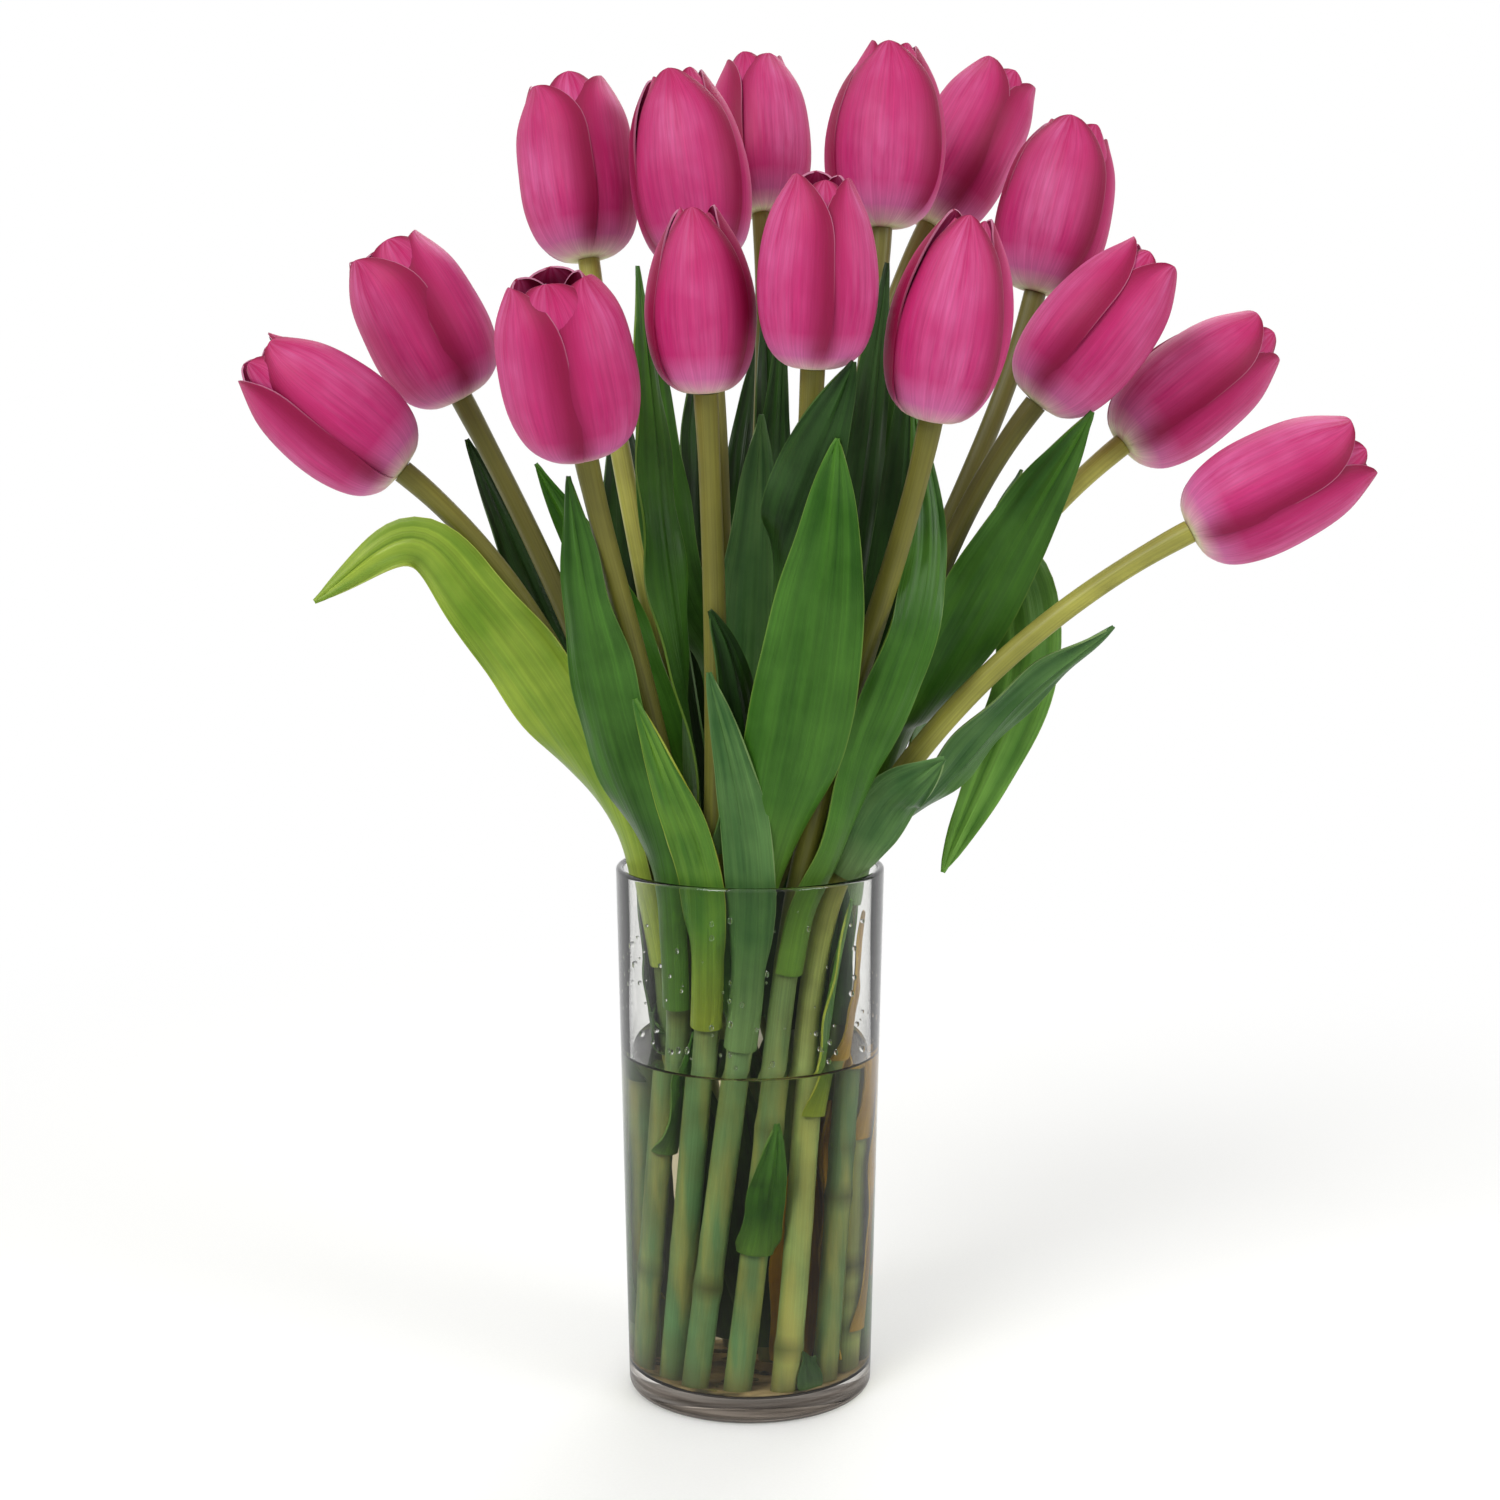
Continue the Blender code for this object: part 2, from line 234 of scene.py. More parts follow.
def sheetPlaces(add, place):
    # the way along a sheet, 0 to 1, and how far from its middle, 0 to 0.5
    spot = add("SeparateXYZ", (place["UV"],)).outputs
    fromMiddle = add("Math", (spot["X"], 0.5), operation="SUBTRACT")
    return spot["Y"], add("Math", (fromMiddle,), operation="ABSOLUTE")


def fineLines(add, place, ground, scale, reach, detail, roughness=0.5):
    # lines that run the length of a sheet: their relief, and the ground's colour with them
    lines = add("Mapping", {"Vector": place["UV"], "Scale": scale})
    relief = add("TexNoise", {"Vector": lines, "Scale": 1.0, "Detail": detail, "Roughness": roughness})
    value = add("MapRange", (relief, 0.3, 0.7, *reach))
    return relief, add("HueSaturation", {"Value": value, "Color": ground})


# the plan of the bunch, a row for each tulip from 1 to 15. The foot on the vase's floor and
# the place at the rim are (azimuth, radius). base is where stem and flower meet, lean and nod
# are the flower's tilt to the right and to the front. turn is how far the nearest outer
# petal's middle is turned to the right, gape how open the mouth is, stem the stem's tone.
# peel is an outer petal and how far one of its edges stands off, its sign saying which.
tulipTraits = ("foot", "rim", "base", "lean", "nod", "length", "width", "turn", "gape", "stem", "peel")
tulips = {number: dict(zip(tulipTraits, row)) for number, row in enumerate((
    ((155, 30), (184, 39), (-124, -20, 346), -51, 5, 68, 44, 42, 0.45, "olive"),
    ((122, 33), (160, 39), (-107, 20, 372), -27, 8, 65, 47, -40, 0.7, "brown", (1, -1.4)),
    ((190, 34), (226, 37), (-56, -60, 352), -10, 18, 66, 48, 58, 0.7, "olive"),
    ((92, 32), (125, 39), (-62, 57, 425), -8, -8, 71, 46, -46, 0.8, "bright"),
    ((60, 14), (115, 20), (-18, 34, 421), -8, -2, 74, 46, -12, 0.35, "olive", (0, 1.6)),
    ((54, 34), (88, 39), (5, 92, 445), -3, -14, 67, 42, 34, 0.6, "olive"),
    ((214, 30), (250, 37), (-15, -62, 373), -3, 8, 64, 38, -8, 0.1, "olive"),
    ((236, 33), (276, 34), (21, -74, 381), 2, 10, 66, 42, -52, 0.38, "olive"),
    ((340, 12), (35, 18), (49, 32, 435), 3, -4, 70, 46, -10, 0.25, "brown", (0, 1.6)),
    ((28, 29), (62, 39), (70, 84, 440), 27, -14, 72, 42, -44, 0.75, "olive"),
    ((8, 34), (38, 39), (108, 44, 412), 14, -4, 67, 44, -22, 0.6, "brown", (0, -1.6)),
    ((262, 31), (300, 36), (61, -66, 364), 10, 12, 72, 43, -9, 0.05, "olive"),
    ((318, 33), (352, 39), (103, -8, 370), 38, 4, 69, 43, 44, 0.5, "brown"),
    ((345, 31), (14, 39), (139, 22, 355), 52, -6, 70, 43, -50, 0.55, "bright"),
    ((290, 34), (328, 39), (155, -34, 325), 62, 4, 68, 43, -50, 0.6, "bright"),
), 1)}

# a row for each leaf from 1 to 27: its tulip, the height of its foot, the azimuth of the side
# of the stem it grows on, the azimuth that the back of its blade faces, its width, how near
# its widest place is to the tip (1.15 is usual), its tone, and the points its midrib passes
leaves = dict(enumerate((
    (1, 160, 205, 255, 30, 1.15, "lime", ((-48, -11, 215), (-70, -19, 258), (-99, -24, 300),
     (-121, -26, 321), (-155, -28, 300))),
    (3, 150, 215, 245, 28, 1.15, "deep", ((-33, -31, 205), (-47, -43, 250), (-57, -51, 300),
     (-62, -56, 345))),
    (2, 190, 120, 120, 22, 1.15, "dark", ((-53, 25, 232), (-75, 32, 285), (-92, 34, 324),
     (-107, 34, 357))),
    (4, 195, 250, 250, 22, 1.15, "fresh", ((-36, 25, 250), (-55, 26, 300), (-80, 23, 348))),
    (3, 185, 20, -50, 18, 1.15, "fresh", ((-20, -26, 238), (-30, -26, 314), (-34, -24, 353),
     (-40, -18, 418))),
    (7, 145, 240, 260, 16, 1.15, "yellowing", ((-18, -42, 203), (-28, -50, 235), (-40, -54, 268))),
    (7, 212, 340, 300, 17, 1.15, "dark", ((-3, -44, 255), (-8, -52, 283), (-14, -58, 299))),
    (8, 137, 262, 262, 18, 1.15, "grey", ((0, -44.5, 203), (-5, -54, 241), (-14, -61, 278))),
    (5, 190, 285, 275, 26, 1.15, "grey", ((-2, -2, 250), (2, -12, 320), (4, -18, 366))),
    (8, 178, 282, 270, 37, 1.15, "fresh", ((9, -47, 222), (17, -60, 258), (25, -75, 313),
     (29, -83, 358))),
    (8, 286, 200, 262, 22, 1.4, "dark", ((13, -72, 330), (20, -78, 350), (34, -88, 383))),
    (9, 205, 335, 290, 20, 1.15, "dark", ((30, 8, 270), (42, 12, 350), (50, 10, 421))),
    (12, 165, 325, 285, 19, 1.15, "fresh", ((31, -36, 212), (41, -46, 248), (50, -53, 272),
     (59, -51, 300), (62, -42, 330), (57, -33, 372))),
    (13, 226, 310, 270, 29, 1.15, "fresh", ((60, -13, 258), (78, -15, 290), (98, -17, 327),
     (122, -18, 367))),
    (14, 160, 5, -85, 24, 2.1, "light", ((45, 9, 204), (64, 9, 250), (80, 7, 292), (93, 5, 311),
     (102, 3, 296), (100, 1, 262), (72, 0, 197))),
    (11, 190, 200, 260, 20, 1.15, "dark", ((38, 14, 240), (50, 4, 290), (56, -2, 350), (58, -5, 396))),
    (13, 185, 335, 322, 24, 1.15, "grey", ((70, -15, 232), (98, -19, 265), (130, -24, 291))),
    (15, 200, 290, 290, 22, 1.15, "grey", ((55, -33, 232), (69, -38, 245))),
    (5, 250, 250, 262, 20, 1.15, "deep", ((-26, 6, 302), (-33, 4, 345), (-36, 0, 400))),
    (6, 200, 275, 270, 16, 1.15, "dark", ((4, 18, 280), (8, 13, 340), (12, 10, 402))),
    (10, 210, 250, 265, 21, 1.15, "deep", ((42, 35, 285), (53, 38, 340), (60, 38, 398))),
    (9, 225, 118, 102, 16, 1.15, "dark", ((14, 44, 280), (9, 47, 345), (6, 52, 412))),
    (5, 225, 135, 125, 22, 1.15, "dark", ((-18, 38, 290), (-19, 46, 350), (-18, 54, 410))),
    (6, 150, 98, 98, 34, 1.15, "dark", ((-2, 45, 203), (-4, 60, 260), (0, 76, 330), (4, 92, 398))),
    (10, 150, 65, 65, 28, 1.3, "deep", ((21, 41, 203), (34, 60, 255), (46, 78, 315), (54, 94, 372))),
    (4, 150, 114, 114, 35, 1.3, "dark", ((-25, 38, 203), (-37, 54, 255), (-47, 72, 315), (-52, 88, 372))),
    (11, 200, 20, 20, 28, 1.15, "grey", ((60, 38, 250), (84, 54, 300), (106, 66, 345))),
), 1))

# what is left of stripped leaves: the stem it clasps, its foot's height, its side, its
# width, its tone, the height of its torn end and how far that end leans away
remnants = (
    (4, 132, 275, 17, "dark", 194, 3), (5, 133, 262, 17, "deep", 195, 3),
    (6, 131, 265, 16, "dark", 192, 2), (9, 134, 275, 16, "dark", 196, 3),
    (10, 133, 245, 17, "deep", 194, 3), (11, 136, 235, 16, "dark", 196, 3),
    (2, 128, 300, 17, "dark", 193, 2), (14, 134, 235, 15, "deep", 190, 2),
    (13, 141, 240, 16, "dark", 196, 2), (12, 62, 285, 13, "deep", 112, 3),
    (3, 96, 320, 11, "deep", 141, 1), (14, 24, 20, 20, "golden", 118, 2),
    (11, 40, 40, 18, "golden", 124, 1), (2, 30, 170, 13, "yellowing", 92, 2),
    (1, 118, 178, 15, "dark", 157, 1), (2, 120, 196, 16, "dark", 188, 1),
    (13, 126, 345, 15, "golden", 182, 1), (14, 96, 352, 15, "golden", 156, 1),
    (15, 112, 350, 14, "yellowing", 190, 1), (1, 22, 185, 12, "deep", 100, 1),
    (10, 16, 250, 24, "golden", 104, 2), (9, 14, 300, 20, "golden", 96, 2),
    (4, 14, 275, 20, "dark", 112, 2), (5, 16, 262, 22, "dark", 120, 2), (6, 22, 262, 20, "deep", 116, 2),
    (14, 14, 165, 24, "golden", 110, 2), (1, 134, 160, 13, "dark", 187, 1.5),
    (14, 134, 20, 13, "deep", 187, 1.5),
)

# the vase: soda-lime glass, blown in a mould and fire-polished at the rim. It is clear
# and smooth, and only its rim, its thick floor and its edges show, as dark and bright lines.
vaseSettings = {
    "height": 200.0, "rimRadius": 50.0, "baseRadius": 46.0, "wall": 2.8, "floor": 9.0,
    "insideCorner": 4.0, "footRounding": 3.0, "rimRounding": 0.49, "sides": 160, "punt": 1.2,
    "puntInset": 7.0, "puntRing": 3.0,
    "ior": 1.5, "tint": "#FBFBF9", "shine": "#EAEAEA",
    # the floor's tints carry painted shade and painted highlights, and the foot's tint is a painted contact
    # shadow
    "floorTintWithPaintedLight": ("#4A423A", "#A2968A", "#F2ECE4"), "footPaintedShadow": "#3A3532",
}


def insideRadius(z):
    v = vaseSettings
    return v["baseRadius"] - v["wall"] + (v["rimRadius"] - v["baseRadius"]) * z / v["height"]


def bevelLoop(obj, z, radius, offset, segments):
    # rounds the level loop of edges at a height and radius
    selectIn(obj, "EDGE", lambda edge: all(
        abs(obj.data.vertices[i].co.z - z * mm) < 0.05 * mm
        and abs(obj.data.vertices[i].co.xy.length - radius * mm) < 0.3 * mm for i in edge.vertices))
    bpy.ops.mesh.bevel(offset=offset * mm, segments=segments, profile=0.5)
    bpy.ops.object.mode_set(mode="OBJECT")


def buildVase():
    v = vaseSettings
    vase = solid(bpy.ops.mesh.primitive_cylinder_add, vertices=v["sides"], radius=v["baseRadius"] * mm,
                 depth=v["height"] * mm, end_fill_type="NGON", location=(0.0, 0.0, v["height"] / 2 * mm))
    vase.name = "glassVase"
    selectIn(vase, "FACE", lambda face: face.normal.z > 0.9)
    widen = v["rimRadius"] / v["baseRadius"]
    bpy.ops.transform.resize(value=(widen, widen, 1.0))
    bpy.ops.mesh.inset(thickness=v["wall"] * mm)
    bpy.ops.mesh.extrude_region_move(
        TRANSFORM_OT_translate={"value": (0.0, 0.0, (v["floor"] - v["height"]) * mm)})
    narrow = insideRadius(v["floor"]) / insideRadius(v["height"])
    bpy.ops.transform.resize(value=(narrow, narrow, 1.0))
    bpy.ops.object.mode_set(mode="OBJECT")
    for radius in (v["rimRadius"], v["rimRadius"] - v["wall"]):
        bevelLoop(vase, v["height"], radius, v["wall"] * v["rimRounding"], 6)
    bevelLoop(vase, v["floor"], insideRadius(v["floor"]), v["insideCorner"], 8)
    bevelLoop(vase, 0.0, v["baseRadius"], v["footRounding"], 7)
    selectIn(vase, "FACE", lambda face: face.normal.z < -0.99 and face.center.z < mm)
    bpy.ops.mesh.inset(thickness=v["puntInset"] * mm)
    bpy.ops.mesh.inset(thickness=v["puntRing"] * mm)
    bpy.ops.transform.translate(value=(0.0, 0.0, v["punt"] * mm))
    bpy.ops.object.mode_set(mode="OBJECT")
    smoothed(vase, 35)
    return vase


def glassMaterial():
    # clear and smooth: it shows by its dark and bright edges, its rim and its thick floor
    v = vaseSettings
    material, add, shader, place = newMaterial("clearSodaLimeGlass", {
        "IOR": v["ior"], "Specular Tint": v["shine"], "Transmission Weight": 1.0})
    height = add("SeparateXYZ", (place["Object"],)).outputs
    # the thick floor gathers a tint that a thin wall hardly shows, with painted shade and painted
    # highlights in level streaks about 2 mm thick and 60 mm long, and a painted contact shadow darkens the
    # rounded foot
    layers = add("Mapping", {"Vector": place["Object"], "Scale": (16.0, 16.0, 420.0)})
    streak = add("TexNoise", {"Vector": layers, "Scale": 1.0, "Detail": 2.0})
    dark, middle, light = v["floorTintWithPaintedLight"]
    streaked = add("ValToRGB", (streak,), stops=((0.36, dark), (0.64, light), (0.5, middle)))
    foot = add("MapRange", (height["Z"], 0.0032, 0.0014))
    footed = add("Mix", {0: foot, 6: streaked, 7: v["footPaintedShadow"]}, data_type="RGBA")
    thick = add("MapRange", (height["Z"], 0.008, 0.012))
    clear = add("Mix", {0: thick, 6: footed, 7: v["tint"]}, data_type="RGBA")
    # a few faint smears where wet hands and leaves have touched the wall, about 15 mm across
    smear = add("TexNoise", {"Vector": place["Object"], "Scale": 65.0, "Detail": 4.0})
    rough = add("MapRange", (smear, 0.62, 0.8, 0.0, 0.07))
    # mould-blown walls are not quite even: broad ripples some 30 mm apart
    ripple = add("TexNoise", {"Vector": place["Object"], "Scale": 30.0, "Detail": 0.0})
    bump = add("Bump", {"Height": ripple, "Strength": 0.12, "Distance": 0.0008})
    fill(shader, {"Base Color": clear, "Roughness": rough, "Normal": bump})
    letLampsThrough(add, shader)
    return material


def letLampsThrough(add, shader):
    # light from the lamps reaches what stands inside, as it does through real glass and water
    ray = add("LightPath").outputs
    clear = add("BsdfTransparent", {"Color": (0.94, 0.95, 0.93, 1.0)})
    both = add("MixShader", (ray["Is Shadow Ray"], shader, clear))
    fill(shader.id_data.nodes["Material Output"], {"Surface": both})


settle(buildVase(), "glass_vase", glassMaterial())
print("vase done")

# the water: tap water a few days old, a little yellow from the stems. It reaches a hair
# into the glass so that no air film shows between them, and climbs the wall in a meniscus.
waterSettings = {
    "level": 129.0, "overlap": 0.2, "meniscus": 1.6, "ior": 1.333, "tint": "#DCCB86", "density": 13.0,
    "shine": "#A0A0A0",
    # (how far each step of the meniscus goes in, the share of its height that it drops)
    "steps": ((0.5, 0.55), (0.9, 0.3), (1.8, 0.15)),
}


def buildWater():
    v, w = vaseSettings, waterSettings
    low = v["floor"] - w["overlap"]
    rise = w["level"] - low
    bottom = insideRadius(low) + w["overlap"]
    top = insideRadius(w["level"]) + w["overlap"]
    water = solid(bpy.ops.mesh.primitive_cylinder_add, vertices=v["sides"], radius=bottom * mm,
                  depth=rise * mm, end_fill_type="NGON", location=(0.0, 0.0, (low + rise / 2) * mm))
    water.name = "vaseWater"
    selectIn(water, "FACE", lambda face: face.normal.z > 0.9)
    bpy.ops.transform.resize(value=(top / bottom, top / bottom, 1.0))
    bpy.ops.transform.translate(value=(0.0, 0.0, w["meniscus"] * mm))
    for width, drop in w["steps"]:
        bpy.ops.mesh.inset(thickness=width * mm)
        bpy.ops.transform.translate(value=(0.0, 0.0, -drop * w["meniscus"] * mm))
    bpy.ops.object.mode_set(mode="OBJECT")
    bevelLoop(water, low, bottom, v["insideCorner"], 8)
    smoothed(water, 60)
    return water


def waterMaterial():
    # clear and faintly yellow through its depth, with a still surface. Glass hides most of the
    # gleam that water's sides would have in air, so its shine is turned down.
    w = waterSettings
    material, add, shader, place = newMaterial("standingWater", {
        "Base Color": "#FFFFFF", "IOR": w["ior"], "Specular Tint": w["shine"],
        "Transmission Weight": 1.0, "Roughness": 0.0})
    swell = add("TexNoise", {"Vector": place["Object"], "Scale": 60.0, "Detail": 1.0})
    bump = add("Bump", {"Height": swell, "Strength": 0.1, "Distance": 0.0006})
    fill(shader, {"Normal": bump})
    body = add("VolumeAbsorption", {"Color": w["tint"], "Density": w["density"]})
    fill(shader.id_data.nodes["Material Output"], {"Volume": body})
    letLampsThrough(add, shader)
    return material


settle(buildWater(), "water", waterMaterial())
print("water done")

# the stems: fresh tulip stems, waxy, grooved finely along their length, with a ring
# where a leaf was pulled off
stemSettings = {
    "footRadius": 4.8, "topRadius": 3.7, "sides": 24, "stepsInside": 36, "stepsAbove": 60,
    "footGap": 0.3, "taperInVase": 0.375, "rimPull": 0.6,
    "scars": 3, "scarHeights": (24, 150), "swelling": 0.15, "ringHeight": 2.0, "scarReach": 2.4,
    # (ribs round the stem, their height), and how the stem widens into the flower
    "ribs": ((5, 0.10), (3, 0.06)), "neck": 0.5, "neckSteps": 5,
    "yellow": "#B9B05A", "cutFoot": "#4E4420", "scarTone": "#3C4218",
    # low, middle and high on the stem
    "tones": {
        "olive": ("#63905E", "#686A24", "#78742C"),
        "brown": ("#567E4E", "#585620", "#686428"),
        "bright": ("#9CB670", "#949438", "#ABA84C"),
    },
}


def flowerAxis(t):
    lean, nod = radians(t["lean"]), radians(t["nod"])
    return Vector((sin(lean) * cos(nod), -sin(nod), cos(lean) * cos(nod)))


def stemRoute(t):
    # points up the middle of a stem, with its radius at each, from the vase's floor to the flower
    s = stemSettings
    foot = polar(*t["foot"], vaseSettings["floor"] + s["footGap"])
    rim = polar(*t["rim"], vaseSettings["height"])
    top = Vector(t["base"])
    upVase, upAir = rim - foot, top - rim
    throughRim = (upVase.normalized() + upAir.normalized()).normalized()
    inside, above = upVase.length / 3, upAir.length / 3
    lower = interpolate_bezier(foot, foot + upVase.normalized() * inside,
                               rim - throughRim * inside * s["rimPull"], rim, s["stepsInside"] + 1)
    upper = interpolate_bezier(rim, rim + throughRim * above, top - flowerAxis(t) * above, top,
                               s["stepsAbove"] + 1)
    taper, low = s["topRadius"] - s["footRadius"], s["taperInVase"]
    radii = [s["footRadius"] + taper * low * i / s["stepsInside"] for i in range(s["stepsInside"])]
    radii += [s["footRadius"] + taper * (low + (1 - low) * i / s["stepsAbove"])
              for i in range(s["stepsAbove"] + 1)]
    return [*lower[:-1], *upper], radii


def stemAt(t, height):
    # the point, direction and radius of a stem at a height
    route, radii = stemRoute(t)
    step = next(i for i, point in enumerate(route) if point.z > height)
    low, high = route[step - 1], route[step]
    share = (height - low.z) / (high.z - low.z)
    return low.lerp(high, share), (high - low).normalized(), mixed(radii[step - 1], radii[step], share)


def buildStem(number, t):
    s = stemSettings
    route, radii = stemRoute(t)
    last = len(route) - 1
    chance = random.Random(300 + number)
    scars = [chance.uniform(*s["scarHeights"]) for _ in range(s["scars"])]
    scars += [leaf[1] + 1.0 for leaf in leaves.values() if leaf[0] == number]
    frames = []
    side = Vector((0.0, -1.0, 0.0))
    for i in range(last + 1):
        ahead = (route[min(i + 1, last)] - route[max(i - 1, 0)]).normalized()
        side = squareTo(side, ahead)
        frames.append((side, ahead.cross(side)))

    def place(u, v):
        i = round(v * last)
        across, behind = frames[i]
        angle = tau * u
        radius = radii[i]
        for scar in scars:
            off = (route[i].z - scar) / s["ringHeight"]
            radius += radii[i] * s["swelling"] * exp(-off * off) * (1.0 if off > 0 else 0.6)
        for turns, (ribs, high) in enumerate(s["ribs"], 1):
            radius += high * cos(ribs * angle + turns * number)
        toTop = (last - i) / s["neckSteps"]
        radius += s["neck"] * exp(-toTop * toTop)
        point = route[i] + (across * cos(angle) + behind * sin(angle)) * radius
        if i == 0:
            point.z = vaseSettings["floor"] + s["footGap"]
        return point

    stem = sheet(f"tulipStem{number:02d}", s["sides"], last, place)
    scarShare = stem.data.attributes.new("scar", "FLOAT", "POINT")
    for i, vert in enumerate(stem.data.vertices):
        near = min(abs(vert.co.z / mm - scar - 0.9) for scar in scars)
        scarShare.data[i].value = max(0.0, 1.0 - near / s["scarReach"])
    weldSeams(bpy.ops.mesh.fill_holes, sides=0)
    smoothed(stem, 50)
    return stem


def stemMaterial(tone):
    # waxy green skin over wet flesh, paler and warmer higher up
    s = stemSettings
    low, middle, high = s["tones"][tone]
    material, add, shader, place = newMaterial("tulipStem" + tone.capitalize(), {
        "IOR": 1.42, "Coat Weight": 0.12, "Coat Roughness": 0.3})
    height = add("SeparateXYZ", (place["Object"],)).outputs
    upStem = add("MapRange", (height["Z"], 0.1, 0.34))
    green = add("ValToRGB", (upStem,), stops=((0.0, low), (1.0, high), (0.45, middle)))
    # bruised and sunburnt patches, some 20 mm long
    patch = add("TexNoise", {"Vector": place["Object"], "Scale": 38.0, "Detail": 3.0})
    patchTone = add("MapRange", (patch, 0.35, 0.7, 0.0, 0.55))
    warm = add("Mix", {0: patchTone, 6: green, 7: s["tones"]["brown"][1]}, data_type="RGBA")
    # fibres run up the stem, about 0.6 mm apart round it
    fibre, streaked = fineLines(add, place, warm, (44.0, 5.0, 1.0), (0.82, 1.16), 3.0)
    # under water the skin goes yellow in places, and the cut foot goes brown
    tall = add("Mapping", {"Vector": place["Object"], "Scale": (150.0, 150.0, 16.0)})
    blotch = add("TexNoise", {"Vector": tall, "Scale": 1.0, "Detail": 4.0})
    blotchTone = add("MapRange", (blotch, 0.42, 0.7, 0.0, 0.6))
    sunk = add("MapRange", (height["Z"], 0.16, 0.09))
    sunkTone = add("Math", (blotchTone, sunk), operation="MULTIPLY")
    yellowed = add("Mix", {0: sunkTone, 6: streaked, 7: s["yellow"]}, data_type="RGBA")
    footShare = add("MapRange", (height["Z"], 0.02, 0.01, 0.0, 0.7))
    footed = add("Mix", {0: footShare, 6: yellowed, 7: s["cutFoot"]}, data_type="RGBA")
    # dark rings where leaves grew
    scar = add("Attribute", attribute_name="scar").outputs
    scarTone = add("Math", (scar["Fac"], 0.85), operation="MULTIPLY")
    scarred = add("Mix", {0: scarTone, 6: footed, 7: s["scarTone"]}, data_type="RGBA")
    rough = add("MapRange", (patch, 0.0, 1.0, 0.38, 0.6))
    bump = add("Bump", {"Height": fibre, "Strength": 0.35, "Distance": 0.0003})
    fill(shader, {"Base Color": scarred, "Roughness": rough, "Normal": bump})
    return material


stemFinishes = {tone: stemMaterial(tone) for tone in stemSettings["tones"]}
for number, t in tulips.items():
    settle(buildStem(number, t), f"stem_{number:02d}", stemFinishes[t["stem"]])
print("stems done")

# the flowers: six petals each, three outer ones over three inner ones, each a thin
# cupped sheet with a blunt tip
flowerSettings = {
    "columns": 24, "rows": 38, "thickness": 0.7,
    # (share of the half width, share of the length) up the side of an outer petal
    "outer": ((0.12, 0.0), (0.5, 0.025), (0.8, 0.12), (0.96, 0.3), (0.97, 0.52), (0.87, 0.76),
              (0.6, 0.98)),
    "outerAngle": 68.0, "innerAngle": 64.0, "innerShare": 0.865, "overlap": 0.7, "tuck": 0.07,
    "peelReach": 0.45, "tipFrom": 0.68, "outerRise": (0.95, 1.0), "innerRise": (0.955, 1.01),
    "profileSteps": 400, "grooveDepth": 0.16, "grooveWidth": 0.16, "frill": 0.45, "edgeCurl": (-1.2, 0.4),
    # broad waves over a petal: (height, turn across, turn along, which phase)
    "waves": ((0.3, 2.6, 3.4, 0), (0.22, 6.0, 2.0, 3)),
    "mouthIn": 0.28, "gapeOut": 0.22, "gapeKeeps": 0.2, "gapeSpread": (0.75, 1.15),
    "bluntness": (0.46, 0.56), "skew": (-0.12, 0.12), "skewAngle": 9,
    # colours up the petal: both ends, then the places between them
    "tones": ((0.0, "#BDBB6C"), (1.0, "#A0184A"), (0.06, "#E2DBB0"), (0.12, "#DDB0B8"),
              (0.2, "#C6649A"), (0.32, "#B6276A"), (0.8, "#AE1C5C")),
    # the painted highlight on the petals' middles, the painted shade on their sides, and the paler bare
    # edge
    "paintedHighlight": "#D2689E", "sides": "#800636", "bareEdge": "#DB9DBB",
}


def flowerFrame(t):
    # the flower's right, its front and its axis
    axis = flowerAxis(t)
    front = squareTo(Vector((0.0, -1.0, 0.0)), axis)
    return axis.cross(front), front, axis


